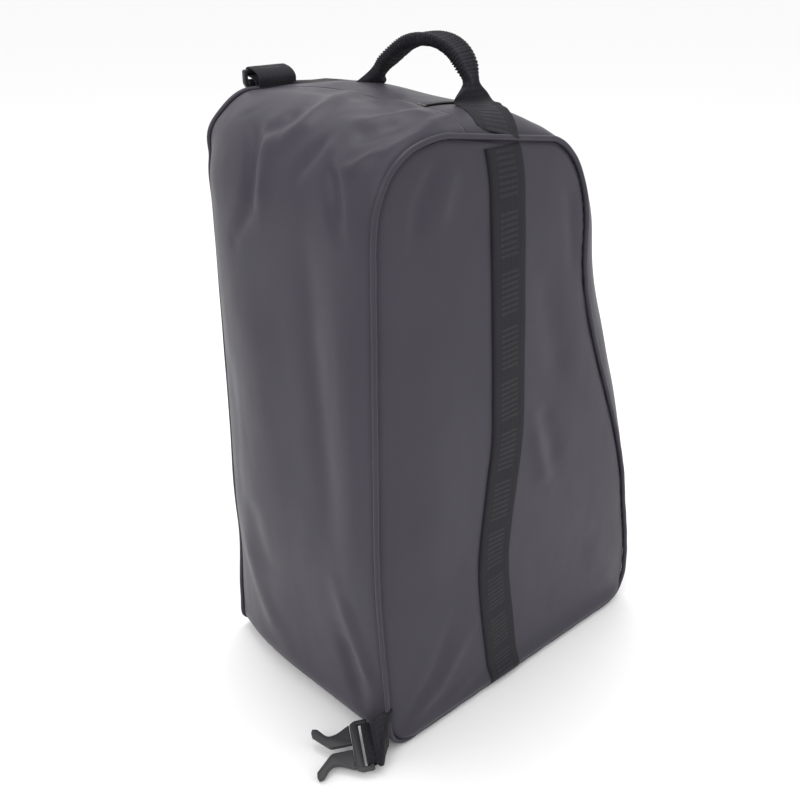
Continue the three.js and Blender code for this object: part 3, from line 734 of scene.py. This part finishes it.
def panel_grid(inset, at_back, rows=230, columns=150):
    """Rows of points (x, z) that fill the seam outline."""
    u = np.linspace(U_HEEL, U_TOE, 1600)
    edge = back_seam(u, -inset) if at_back else seam(u, -inset)
    top = int(np.argmax(edge[:, 1]))
    z0, z1 = edge[0, 1] - (HEM_BACK if at_back else HEM_FRONT), edge[top, 1] - 0.05
    share = 0.5 - 0.5 * np.cos(np.pi * np.linspace(0, 1, rows))
    z = z0 + (z1 - z0) * (0.35 * np.linspace(0, 1, rows) + 0.65 * share)
    left = np.interp(z, edge[:top + 1, 1], edge[:top + 1, 0])
    right = np.interp(z, edge[top:, 1][::-1], edge[top:, 0][::-1])
    t = np.linspace(0, 1, columns)
    t = 0.5 * t + 0.5 * (0.5 - 0.5 * np.cos(np.pi * t))
    x = left[:, None] + (right - left)[:, None] * t
    return x, np.repeat(z[:, None], columns, 1), edge


def edge_distance(x, z, edge):
    flat = np.stack([x.ravel(), z.ravel()], axis=1)
    d = np.full(len(flat), 1e9)
    for q in edge[::4]:
        d = np.minimum(d, np.hypot(flat[:, 0] - q[0], flat[:, 1] - q[1]))
    return np.minimum(d.reshape(x.shape), z - edge[0, 1])


def panel_out(x, z, d, group):
    """How far a panel stands out from its seam plane."""
    points = np.stack([x, np.full_like(x, FRONT_Y), z], axis=-1)
    puff = 1.6 * (1 - np.exp(-d / 7)) + 3.4 * (1 - np.exp(-d / 60))
    folds = fold_height(points, group) + undulation(points, 0.6, 150, 8)
    overhang = 4.4 * np.exp(-(((z - 7) / 12) ** 2)) * smoothstep(x, -166, -140)
    return puff + folds * smoothstep(d, 0, 26) - 1.2 * np.exp(-((d / 2.6) ** 2)) + overhang


def facing(shape, y):
    """A grid of normals along Y (1) or against it (-1)."""
    return np.broadcast_to(np.array([0.0, y, 0.0]), (*shape, 3))


def panel_face(name, at_back):
    x, z, edge = panel_grid(PANEL_INSET, at_back)
    out = panel_out(x, z, edge_distance(x, z, edge), "back" if at_back else "front")
    points = np.stack([x, BACK_Y + out if at_back else FRONT_Y - out, z], axis=-1)
    normals = facing(x.shape, 1 if at_back else -1)
    face = sheet_object(name, points, PANEL_THICK, SHELL, normals=normals)
    recalculate_normals(face)
    return face


def build_panels():
    front = panel_face("front_face", False)
    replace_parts(front, "front_panel", "front_flap")
    bend(front)
    back = panel_face("back_face", True)
    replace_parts(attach(back, "bag"), "back_panel")


BASE_THICK = 2.4


def build_base():
    """A flat sheet with a soft edge. On the toe side its front strip belongs to the flap."""
    xs = even(HEEL_X, TOE_X, 4)
    ys = even(FRONT_Y - 0.4, FRONT_Y + REAR_START, 3)
    ys = np.concatenate([ys, even(FRONT_Y + REAR_START + 3, BACK_Y + 0.8, 4)])
    x, y = np.meshgrid(xs, ys, indexing="ij")
    edge = np.minimum(y - ys[0], ys[-1] - y)
    z = 2.2 * np.exp(-edge / 2.5)
    points = np.stack([x, y, z], axis=-1)
    under = np.broadcast_to(np.array([0.0, 0.0, -1.0]), points.shape)
    rows = x[:, 0] <= FOLD_X
    columns = y[0] >= FRONT_Y + REAR_START - 0.5
    heel = sheet_object("base_heel", points[rows], BASE_THICK, SHELL, normals=under[rows])
    toe_points, toe_normals = points[~rows][:, columns], under[~rows][:, columns]
    toe = sheet_object("base_toe", toe_points, BASE_THICK, SHELL, normals=toe_normals)
    for obj in (heel, toe):
        recalculate_normals(obj)
        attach(obj, "bag")
    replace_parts(heel, "base_panel")


def build_piping():
    """A cord covered in the shell fabric."""
    u = even(0.6, PERIMETER - 0.6, 2.2)
    flat = seam(u, 0.2)
    ripple = 0.12 * np.sin(u / 4.1) + 0.1 * np.sin(u / 9.7)
    front = np.stack([flat[:, 0], FRONT_Y - 0.3 + ripple, flat[:, 1]], axis=1)
    pipe = sweep("piping_front", front, round_section(PIPING_R), (0, 1, 0), SHELL)
    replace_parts(pipe, "front_piping", "flap_piping")
    bend(pipe)
    u = np.linspace(0, PERIMETER, 760)[:-1]
    flat = back_seam(u, 0.2)
    ripple = 0.1 * np.sin(np.arange(len(u)) / 5)
    back = np.stack([flat[:, 0], BACK_Y + 0.3 + ripple, flat[:, 1]], axis=1)
    pipe = sweep("piping_back", back, round_section(PIPING_R), (0, 1, 0), SHELL, closed=True)
    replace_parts(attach(pipe, "bag"), "back_piping")


# ---- Zip

def zip_line(s, lift, low, high, pitch):
    """Evenly spaced places along the zip at a distance s from the front seam, with their frames."""
    us = even(low, high, 1.0)
    ys = gusset_grid(us, np.array([s]))[1][:, 0]
    points = gusset_points(us, ys)
    side_ys = gusset_grid(us, np.array([s + 1.0]))[1][:, 0]
    across = gusset_points(us, side_ys) - points
    length = lengths_along(points)
    at = np.arange(0, length[-1], pitch)
    points, across = resample(points, length, at), resample(across, length, at)
    along = np.gradient(points, axis=0)
    along /= np.linalg.norm(along, axis=1)[:, None]
    across -= along * np.sum(across * along, axis=1)[:, None]
    across /= np.linalg.norm(across, axis=1)[:, None]
    up = np.cross(along, across)
    return points + up * lift, along, across, up


def teeth(name, low, high, side, phase):
    """One side's coil: a row of small rounded loops that reach over the middle."""
    points, along, across, up = zip_line(ZIP_MIDDLE, 0.0, low, high, 1.5)
    points = points + along * phase
    outline = [(-0.62, -0.5), (-0.62, 0.35), (-0.3, 0.8), (0.3, 0.8), (0.62, 0.35), (0.62, -0.5)]
    ends = [(-0.9, 0.72), (-0.3, 1.0), (2.2, 1.0), (2.7, 0.7)]
    verts, faces = [], []
    m = len(outline)
    for p, a, c, n in zip(points, along, across, up):
        base = len(verts)
        for reach, size in ends:
            for x, h in outline:
                verts.append(p + a * x * size + c * side * reach + n * (h * size + 0.1))
        for i in range(len(ends) - 1):
            for j in range(m):
                k = (j + 1) % m
                row, above = base + i * m, base + (i + 1) * m
                faces.append((row + j, above + j, above + k, row + k))
        faces.append(tuple(base + j for j in range(m)))
        faces.append(tuple(base + (len(ends) - 1) * m + j for j in range(m))[::-1])
    obj = mesh_object(name, verts, faces, COIL)
    recalculate_normals(obj)
    return obj


def tape(name, low, high, s0, s1):
    """Zip tape from u low to high, between two distances from the front seam."""
    ss = even(s0, s1, 1.6)
    us = even(low, high, 2.4)
    uu, yy = gusset_grid(us, ss)
    points = gusset_points(uu, yy)
    normals = gusset_normals(points)
    uvs = np.stack([uu, np.broadcast_to(ss, uu.shape)], axis=-1) / UV_UNIT
    return sheet_object(name, points - normals * 0.9, 0.8, TAPE, uvs, normals=normals)


def build_zip():
    start, end = U_ZIP + 5.7, PERIMETER - 6
    rear_tape = tape("tape_rear", start, end, ZIP_MIDDLE + 0.4, REAR_START + 1.5)
    rear_teeth = teeth("coil_rear", start, end, 1, 0.0)
    for obj, name in ((rear_tape, "rear_zip_tape"), (rear_teeth, "rear_zip_coil")):
        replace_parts(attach(obj, "bag"), name)
    front_tape = tape("tape_front", start, end, STRIP_END - 1.5, ZIP_MIDDLE - 0.4)
    front_teeth = teeth("coil_front", start, end, -1, 0.75)
    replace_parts(front_tape, "top_zip_tape", "flap_zip_tape")
    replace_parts(front_teeth, "top_zip_coil", "flap_zip_coil")
    for obj in (front_tape, front_teeth):
        bend(obj)


# ---- Slider and pull. In their frame X runs down the zip, Y across it and Z out of it.

def shape_object(name, loops, thick, bevel, matrix, mat, lift=0.0):
    """A plate cut to closed loops, the first its outline and the rest holes, with rounded edges."""
    curve = bpy.data.curves.new(name, "CURVE")
    curve.dimensions = "2D"
    curve.fill_mode = "BOTH"
    curve.extrude = max(thick / 2 - bevel, 0.01) / 1000
    curve.bevel_depth = bevel / 1000
    curve.bevel_resolution = 2
    curve.offset = -bevel / 1000
    for loop in loops:
        spline = curve.splines.new("POLY")
        spline.points.add(len(loop) - 1)
        spline.points.foreach_set("co", [v for x, y in loop for v in (x / 1000, y / 1000, 0, 1)])
        spline.use_cyclic_u = True
    source = bpy.data.objects.new(name + "_curve", curve)
    bpy.context.scene.collection.objects.link(source)
    bpy.context.view_layer.update()
    graph = bpy.context.evaluated_depsgraph_get()
    mesh = bpy.data.meshes.new_from_object(source.evaluated_get(graph))
    bpy.data.objects.remove(source)
    obj = bpy.data.objects.new(name, mesh)
    bpy.context.scene.collection.objects.link(obj)
    bm = bmesh.new()
    bm.from_mesh(mesh)
    bmesh.ops.remove_doubles(bm, verts=bm.verts, dist=1e-6)
    bmesh.ops.translate(bm, verts=bm.verts, vec=(0, 0, lift / 1000))
    bmesh.ops.transform(bm, verts=bm.verts, matrix=matrix)
    bmesh.ops.recalc_face_normals(bm, faces=bm.faces)
    bm.to_mesh(mesh)
    bm.free()
    mesh.materials.clear()
    mesh.materials.append(mat)
    mesh.polygons.foreach_set("use_smooth", [True] * len(mesh.polygons))
    mesh.set_sharp_from_angle(angle=math.radians(35))
    return obj


def frame_matrix(origin, x, y):
    """A matrix from a frame's origin (mm) and its X and Y directions."""
    x, y = Vector(x).normalized(), Vector(y).normalized()
    z = x.cross(y)
    columns = (x, y, z, Vector(origin) / 1000)
    rows = [[c[k] for c in columns] for k in range(3)]
    return Matrix([*rows, [0, 0, 0, 1]])


def rounded(points, radius=1.0, steps=4):
    """A polygon with its corners rounded."""
    out = []
    n = len(points)
    for i, p in enumerate(points):
        p = np.array(p, float)
        before, after = np.array(points[i - 1], float), np.array(points[(i + 1) % n], float)
        a, b = before - p, after - p
        la, lb = np.linalg.norm(a), np.linalg.norm(b)
        cut = min(radius, la * 0.45, lb * 0.45)
        start, end = p + a / la * cut, p + b / lb * cut
        for t in np.linspace(0, 1, steps + 1):
            out.append(tuple((1 - t) ** 2 * start + 2 * t * (1 - t) * p + t * t * end))
    return out


SLIDER_AT = (158.12, -82.19, 206.96)
SLIDER_X = (0.2907, 0.0909, -0.9525)
SLIDER_Y = (0.217, 0.9633, 0.1582)
PULL_HEIGHT = 5.4


def build_slider():
    place = frame_matrix(SLIDER_AT, SLIDER_X, SLIDER_Y)
    wing = [(-5.5, -2.7), (1.6, -4.5), (5.5, -3.6), (5.5, 3.6), (1.6, 4.5), (-5.5, 2.7)]
    plate = shape_object("slider_plate", [rounded(wing, 1.4)], 1.7, 0.5, place, METAL, lift=1.6)
    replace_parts(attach(plate, "slider"), "zip_slider")
    bridge = [(-3.6, 1.9), (-3.6, 3.4), (-2.2, 6.3), (2.2, 6.3), (3.6, 3.4), (3.6, 1.9), (2.2, 1.9)]
    bridge += [(2.2, 3.4), (1.3, 4.5), (-1.3, 4.5), (-2.2, 3.4), (-2.2, 1.9)]
    x, y = Vector(SLIDER_X), Vector(SLIDER_Y)
    upright = frame_matrix(SLIDER_AT, x, x.cross(y))
    arch = shape_object("slider_arch", [bridge], 2.0, 0.35, upright, METAL)
    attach(arch, "slider")
    outline = [(-1.3, -2.5), (-1.3, 2.5), (19, 3.4), (23, 2.4), (23, -2.4), (19, -3.4)]
    window = [(0.4, -1.4), (4.6, -1.7), (4.6, 1.7), (0.4, 1.4)]
    turns = np.linspace(0, 2 * np.pi, 20, endpoint=False)
    hole = [(19.6 + 1.3 * math.cos(a), 1.3 * math.sin(a)) for a in turns]
    loops = [rounded(outline, 1.2), rounded(window, 0.6), hole]
    pull = shape_object("pull_tab", loops, 1.3, 0.35, place, METAL, lift=PULL_HEIGHT)
    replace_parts(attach(pull, "pull"), "zip_pull")


def build_stops():
    """Crimped metal at the zip's ends. The one at the start spans both sides."""
    for name, u, side in (("stop_start", U_ZIP + 3, None), ("stop_end", PERIMETER - 3.2, 1)):
        points, along, across, _ = zip_line(ZIP_MIDDLE, 0.1, u - 2, u + 2.1, 2.0)
        middle = len(points) // 2
        shift = 0 if side is None else 2.4
        place = frame_matrix(points[middle] + across[middle] * shift, along[middle], across[middle])
        half = 5.0 if side is None else 2.2
        outline = [(-1.7, -half), (1.7, -half), (1.7, half), (-1.7, half)]
        obj = shape_object(name, [rounded(outline, 0.7)], 1.8, 0.5, place, METAL)
        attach(obj, "bag")
        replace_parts(obj, "zip_start_stop" if side is None else "zip_end_stop")


# ---- Webbing

STRAP_COLUMNS = 15
FLAT_POWER = 0.28
STRAP_LINE = [
    (-22, 0),
    (-27, 20),
    (-35, 58),
    (-43, 96),
    (-48, 131),
    (-48, 162),
    (-42, 218),
    (-38, 260),
    (-40, 301),
    (-45, 379),
    (-50, 450),
    (-52, 475),
    (-57, 502),
]


def strap_x(z):
    """The front strap's middle, which wanders a little between its sewn ends."""
    line = smooth_path([(x, 0, z) for x, z in STRAP_LINE], 200)
    return np.interp(np.asarray(z, float), line[:, 2], line[:, 0])


def front_depth(x, z):
    """The front panel's depth at points, from its own shape."""
    _, _, edge = panel_grid(PANEL_INSET, False, 4, 4)
    d = edge_distance(x, z, edge)
    return FRONT_Y - panel_out(x, z, d, "front")


def strap_section():
    """The section of flat webbing, with soft edges."""
    a = band_angles(28)
    across, out = squared(np.cos(a), FLAT_POWER), squared(np.sin(a), FLAT_POWER)
    return np.stack([WEBBING / 2 * across, WEBBING_THICK / 2 * out], axis=1)


def build_strap(name, points, uvs, facing_y, node_name):
    normals = facing(points.shape[:2], facing_y)
    strap = sheet_object(name, points, WEBBING_THICK, WEBBING_FABRIC, uvs, normals=normals)
    recalculate_normals(strap)
    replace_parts(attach(strap, "bag"), node_name)


def build_straps():
    """Webbing up the front, which lies on the panel's own shape, and up the back."""
    z = even(4.5, 497.5, 2.0)
    x = strap_x(z)
    offsets = np.linspace(-WEBBING / 2, WEBBING / 2, STRAP_COLUMNS)
    tilt = -np.gradient(x, z) * (1 - smoothstep(z, 440, 490)) * smoothstep(z, 4, 40)
    xx = x[:, None] + offsets
    zz = z[:, None] + offsets * tilt[:, None] * 0.6
    depth = front_depth(xx, zz)
    ripple = 0.35 * np.sin(zz / 11) * np.sin(xx / 9)
    edge = 0.25 * (np.abs(offsets) / (WEBBING / 2)) ** 6
    points = np.stack([xx, depth - 0.9 - WEBBING_THICK * 0.5 + ripple * 0.6 + edge, zz], axis=-1)
    down = np.repeat(z[:, None], STRAP_COLUMNS, 1)
    uvs = np.stack([down, np.broadcast_to(offsets, xx.shape)], axis=-1) / UV_UNIT
    build_strap("strap_front", points, uvs, -1, "front_webbing")
    points = np.stack([HANDLE_X + offsets + 0 * xx, -depth + 0.9 + WEBBING_THICK * 0.5, zz], axis=-1)
    build_strap("strap_back", points, uvs, 1, "back_webbing")


def top_point(s):
    """A point over the gusset's top at the strap, by distance from the front seam, or from the
    back one if negative."""
    y = section_depths(U_HANDLE, np.array([s]))[0]
    return gusset_points(np.array(U_HANDLE), np.array(y))


HANDLE_RISE = 41.0


def smooth_path(points, count):
    """A Catmull-Rom curve through the points, evenly spaced."""
    p = np.asarray(points, float)
    p = np.vstack([2 * p[0] - p[1], p, 2 * p[-1] - p[-2]])
    out = []
    for i in range(1, len(p) - 2):
        for t in np.linspace(0, 1, 40, endpoint=False):
            a, b, c, d = p[i - 1:i + 3]
            near = 2 * b + (c - a) * t + (2 * a - 5 * b + 4 * c - d) * t**2
            out.append(0.5 * (near + (3 * b - a - 3 * c + d) * t**3))
    out.append(p[-2])
    out = np.array(out)
    length = lengths_along(out)
    return resample(out, length, np.linspace(0, length[-1], count))


def handle_path():
    """Over the strip from the front seam, up and round the grip, and down to the back seam. The
    front anchor drifts sideways a little on its way from the seam to the foot."""
    lift = np.array([0, 0, 1.6])
    front = [top_point(s) + lift + (0.28 * s - 9, 0, 0) for s in (2.5, 10, 18, 26, 35)]
    rear = [top_point(-s) + lift for s in (70, 60, 48, 34, 18, 9, 2.5)]
    f, r = top_point(FRONT_FOOT) + (3, 0, 2.6), top_point(-REAR_FOOT) + (0, 0, 2.4)
    grip = [
        f + (0, 0, 1.5),
        f + (0, 4, 18),
        f + (0, 16, 34),
        f + (0, 40, HANDLE_RISE),
        f + (0, 68, HANDLE_RISE - 4),
        r + (0, -22, 21),
        r + (0, -4, 4),
    ]
    return smooth_path([*front, *grip, *rear], 640)


FOOT_TOP = 520.5
FOOT_THICK = 0.8
ROLL_HALF = 9.4
ROLL_THICK = 5.4
PLEAT = 5.2


def ruche(length, rolled, height, a):
    """How much each point of the section swells or sinks, for pleats round the grip."""
    rng = np.random.default_rng(4)
    pleat = length / PLEAT + 0.5 * np.cumsum(rng.normal(0, 0.02, len(length)))
    wave = np.sin(2 * np.pi * pleat[:, None] + 0.9 * np.sin(a)[None] + 0.6 * np.cos(2 * a)[None])
    sharp = 1 - 2 * np.abs(wave) ** 0.8
    share = rolled[:, None] * smoothstep(height, 14, 26)[:, None]
    return 1 + share * (0.085 * sharp + 0.05 * np.sin(length / 7.7 + 1)[:, None] * np.cos(a)[None])


def handle_section(length, height, rolled):
    """The webbing's section at each point: flat at the feet, a roll with a groove at the grip."""
    a = band_angles(48)
    power = FLAT_POWER + 0.42 * rolled
    neck = 3.6 * np.exp(-(((height - 17) / 7) ** 2))
    half = WEBBING / 2 + (ROLL_HALF - WEBBING / 2) * rolled - neck
    thick = FOOT_THICK + (ROLL_THICK - FOOT_THICK) * rolled
    across = half[:, None] * squared(np.cos(a)[None], power[:, None])
    out = thick[:, None] * squared(np.sin(a)[None], power[:, None])
    swell = ruche(length, rolled, height, a)
    from_groove = (a - 4.71 + np.pi) % (2 * np.pi) - np.pi
    groove = 1 - 0.30 * rolled[:, None] * np.exp(-((from_groove / 0.5) ** 2))[None]
    return np.stack([across * swell, out * swell * groove], axis=-1)


def build_handle():
    """Flat webbing at the feet, folded in half and ruched round the grip."""
    path = handle_path()
    length = lengths_along(path)
    height = path[:, 2] - FOOT_TOP
    rolled = smoothstep(height, 2, 16)
    twist = 0.35 * rolled * (1 - smoothstep(length, 60, 130))
    side = np.stack([np.cos(twist), 0 * twist, np.sin(twist)], axis=1)
    section = handle_section(length, height, rolled)
    obj = sweep("handle_webbing", path, section, side, WEBBING_FABRIC)
    nodes = ("front_anchor", "rear_anchor", "handle_front_foot", "handle_rear_foot", "handle_grip")
    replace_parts(obj, *nodes)
    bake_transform(obj)


# ---- Buckle tabs. In a tab's frame X runs outwards, Y is the width and Z the thickness.

BAR_HALF = 1.6
LOOP_GAP = BAR_HALF * math.sqrt(2) + 0.35
BUCKLE_HALF = 24.0
BODY_FROM = 6.0
BODY_TO = 13.5
SLOT_HALF = 2.6


def loop_strip(name, line, matrix):
    """Webbing that goes out along a line, round the bar at its end and back."""
    line = np.asarray(line, float)
    tangent = np.gradient(line, axis=0)
    tangent /= np.linalg.norm(tangent, axis=1)[:, None]
    normal = np.stack([-tangent[:, 1], tangent[:, 0]], axis=1)
    reach = LOOP_GAP + WEBBING_THICK / 2
    pinch = 1.0 - 0.45 * np.exp(-((np.arange(len(line)) / 1.1) ** 2))
    first = line + normal * reach * pinch[:, None]
    second = (line - normal * reach * pinch[:, None])[::-1]
    start = math.atan2(normal[-1, 1], normal[-1, 0])
    turns = np.linspace(start, start - np.pi, 13)[1:-1]
    turn = [line[-1] + reach * np.array([math.cos(a), math.sin(a)]) for a in turns]
    flat = smooth_path([(x, 0, z) for x, z in [*first, *turn, *second]], 150)
    world = np.array([list(matrix @ Vector(p / 1000)) for p in flat]) * 1000
    side = np.array(matrix.to_3x3() @ Vector((0, 1, 0)))
    obj = sweep(name, world, strap_section(), side, WEBBING_FABRIC)
    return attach(obj, "bag")


def prong_outline(side):
    """One prong: an arm with a barb at its end. side is 1 or -1."""
    w = BUCKLE_HALF
    inner = bezier((33, SLOT_HALF + 1), (31.5, SLOT_HALF + 0.2), (30, SLOT_HALF), count=6)
    outer = bezier((BODY_TO + 0.3, w - 3.2), (20, w - 6), (24, w - 10), (31, w - 10), count=16)
    barb = bezier((31, w - 10), (35, w - 10), (37, w - 5), (41, w - 1), count=14)
    points = [(BODY_TO + 0.3, SLOT_HALF), (BODY_TO + 0.3, w - 3.2), *outer, *barb]
    points += [(45, w), (46.4, w - 3), (46, w - 7), (33, SLOT_HALF + 1), *inner]
    return [(x, side * y) for x, y in points]


def build_buckle(prefix, matrix):
    """A flat buckle body with a slot for its webbing, a raised rib and two prongs."""
    w = BUCKLE_HALF
    bar = w - 4
    outline = [(-1.9, -w), (-1.9, w), (BODY_FROM + 3, w)]
    outline += [(BODY_TO, w - 3), (BODY_TO, -w + 3), (BODY_FROM + 3, -w)]
    slot = [(BAR_HALF, -bar), (BAR_HALF, bar), (BODY_FROM, bar), (BODY_FROM, -bar)]
    loops = [rounded(outline, 1.8), rounded(slot, 0.5)]
    body = shape_object(prefix + "_body", loops, 3.4, 0.7, matrix, PLASTIC)
    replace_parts(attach(body, prefix), prefix + "_frame")
    rib = [(BODY_FROM + 1.3, -w + 3.5), (BODY_FROM + 1.3, w - 3.5)]
    rib += [(BODY_TO - 1.2, w - 5), (BODY_TO - 1.2, -w + 5)]
    pad = shape_object(prefix + "_rib", [rounded(rib, 1.2)], 4.6, 0.6, matrix, PLASTIC)
    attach(pad, prefix)
    for side, letter in ((1, "a"), (-1, "b")):
        name = prefix + "_arm_" + letter
        arm = shape_object(name, [rounded(prong_outline(side), 0.8, 3)], 4.2, 0.8, matrix, PLASTIC)
        body_name = prefix.replace("buckle", "prong") + "_" + letter
        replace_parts(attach(arm, body_name), f"{prefix}_prong_{letter}")


BUCKLE_AT = Vector((-183.5, -106, 14))
BUCKLE_OUT = Vector((-0.8286, 0.549, -0.1098))
BUCKLE_WIDTH = Vector((0.5131, 0.8231, 0.2433))
UPPER_AT = (-81, BACK_Y + 1, 523)
UPPER_HEIGHT = 8
TAB_LINE = [
    (-169.4, -116.8, 31),
    (-173.4, -117.6, 29),
    (-178.4, -117, 23),
    (-181, -113, 17),
    (-180.2, -108.4, 14.5),
]
TAB_ROWS = 40


def build_lower_tab():
    """Webbing that leaves the front seam upright and turns flat towards the buckle's bar."""
    line = smooth_path(TAB_LINE, TAB_ROWS)
    turn = smoothstep(np.linspace(0, 1, TAB_ROWS), 0, 1)[:, None]
    side = np.array([0.12, 0, 0.99]) * (1 - turn) + np.array(BUCKLE_WIDTH) * turn
    side /= np.linalg.norm(side, axis=1)[:, None]
    across = np.linspace(-WEBBING / 2, WEBBING / 2, STRAP_COLUMNS)
    points = line[:, None] + side[:, None] * across[:, None]
    down = np.repeat(np.linspace(0, 20, TAB_ROWS)[:, None], STRAP_COLUMNS, 1)
    uvs = np.stack([down, np.broadcast_to(across, down.shape)], axis=-1) / UV_UNIT
    upper = sheet_object("tab_lower", points, WEBBING_THICK, WEBBING_FABRIC, uvs)
    recalculate_normals(upper)
    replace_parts(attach(upper, "bag"), "lower_tab")


def build_tabs():
    build_lower_tab()
    bar = frame_matrix(BUCKLE_AT, BUCKLE_OUT, BUCKLE_WIDTH)
    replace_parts(loop_strip("loop_lower", [(-4, 0), (-2.6, 0), (-1.2, 0), (0, 0)], bar), "lower_loop")
    build_buckle("lower_buckle", bar)
    upper = frame_matrix(UPPER_AT, (0, 0, 1), (1, 0, 0))
    line = [(-6, 0), (0, 0), (2.4, 0.6), (4.8, 3), (6.8, 7.4), (UPPER_HEIGHT, 13)]
    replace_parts(loop_strip("tab_upper", line, upper), "upper_tab")
    hang = Vector(UPPER_AT) + Vector((0, 13, UPPER_HEIGHT))
    build_buckle("upper_buckle", frame_matrix(hang, (0, 0, -1), (1, 0, 0)))


# ---- Linings

def build_linings():
    """The CAD linings are thin plain skins already; only their front pair is remade here, as one skin."""
    x, z, edge = panel_grid(11, False, 90, 70)
    d = edge_distance(x, z, edge)
    y = FRONT_Y + 2.0 + 0.3 * np.exp(-d / 6)
    points = np.stack([x, y, z], axis=-1)
    skin = sheet_object("lining_front", points, 0.8, LINING, normals=facing(x.shape, -1))
    recalculate_normals(skin)
    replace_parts(skin, "front_lining", "flap_lining")
    bend(skin)
    for name in ("side_lining", "toe_lining", "back_lining"):
        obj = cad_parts[name]
        obj.data.materials.clear()
        obj.data.materials.append(LINING)


# ---- Studio

def build_studio():
    floor_mat = material("floor_paper", (0.96, 0.96, 0.96), 0.9, 0.1)
    wire(floor_mat, "Roughness", between(floor_mat, noise(floor_mat, 4, 2), 0.85, 0.95))
    bpy.ops.mesh.primitive_plane_add(size=60, location=(0, 0, -0.0002))
    floor = bpy.context.object
    floor.name = "floor"
    floor.data.materials.append(floor_mat)
    world = bpy.data.worlds.new("studio")
    bpy.context.scene.world = world
    world.use_nodes = True
    background = world.node_tree.nodes["Background"]
    background.inputs["Color"].default_value = (1.0, 1.0, 1.0, 1)
    background.inputs["Strength"].default_value = 1.0
    area_light("key", (-2.0, -0.5, 1.9), 1.4, 17)
    area_light("fill", (0.9, -2.2, 1.0), 1.8, 5)
    area_light("top", (0.1, 0.3, 2.2), 1.2, 17)


def area_light(name, place, size, power):
    light = bpy.data.lights.new(name, "AREA")
    light.shape = "DISK"
    light.size = size
    light.energy = power
    obj = bpy.data.objects.new(name, light)
    bpy.context.scene.collection.objects.link(obj)
    obj.location = place
    obj.rotation_euler = (Vector((0, 0, 0.26)) - Vector(place)).to_track_quat("-Z", "Y").to_euler()


LENS = 45.0
LENS_SHIFT = 0.0034
CAMERA_AT = (-0.6066, -0.5938, 0.6318)
CAMERA_TURN = math.radians(43.3)
CAMERA_DROP = math.radians(24.9)


def build_camera():
    """A standing view on the front left corner."""
    data = bpy.data.cameras.new("camera")
    data.lens = LENS
    data.shift_y = LENS_SHIFT
    data.sensor_width = 36
    camera = bpy.data.objects.new("camera", data)
    bpy.context.scene.collection.objects.link(camera)
    camera.location = CAMERA_AT
    flat = math.cos(CAMERA_DROP)
    toward = (math.sin(CAMERA_TURN) * flat, math.cos(CAMERA_TURN) * flat, -math.sin(CAMERA_DROP))
    camera.rotation_euler = Vector(toward).to_track_quat("-Z", "Y").to_euler()
    bpy.context.scene.camera = camera
    bpy.context.scene.view_settings.view_transform = "Standard"


build_gusset()
build_panels()
build_base()
build_piping()
build_zip()
build_slider()
build_stops()
build_straps()
build_handle()
build_tabs()
build_linings()
build_studio()
build_camera()
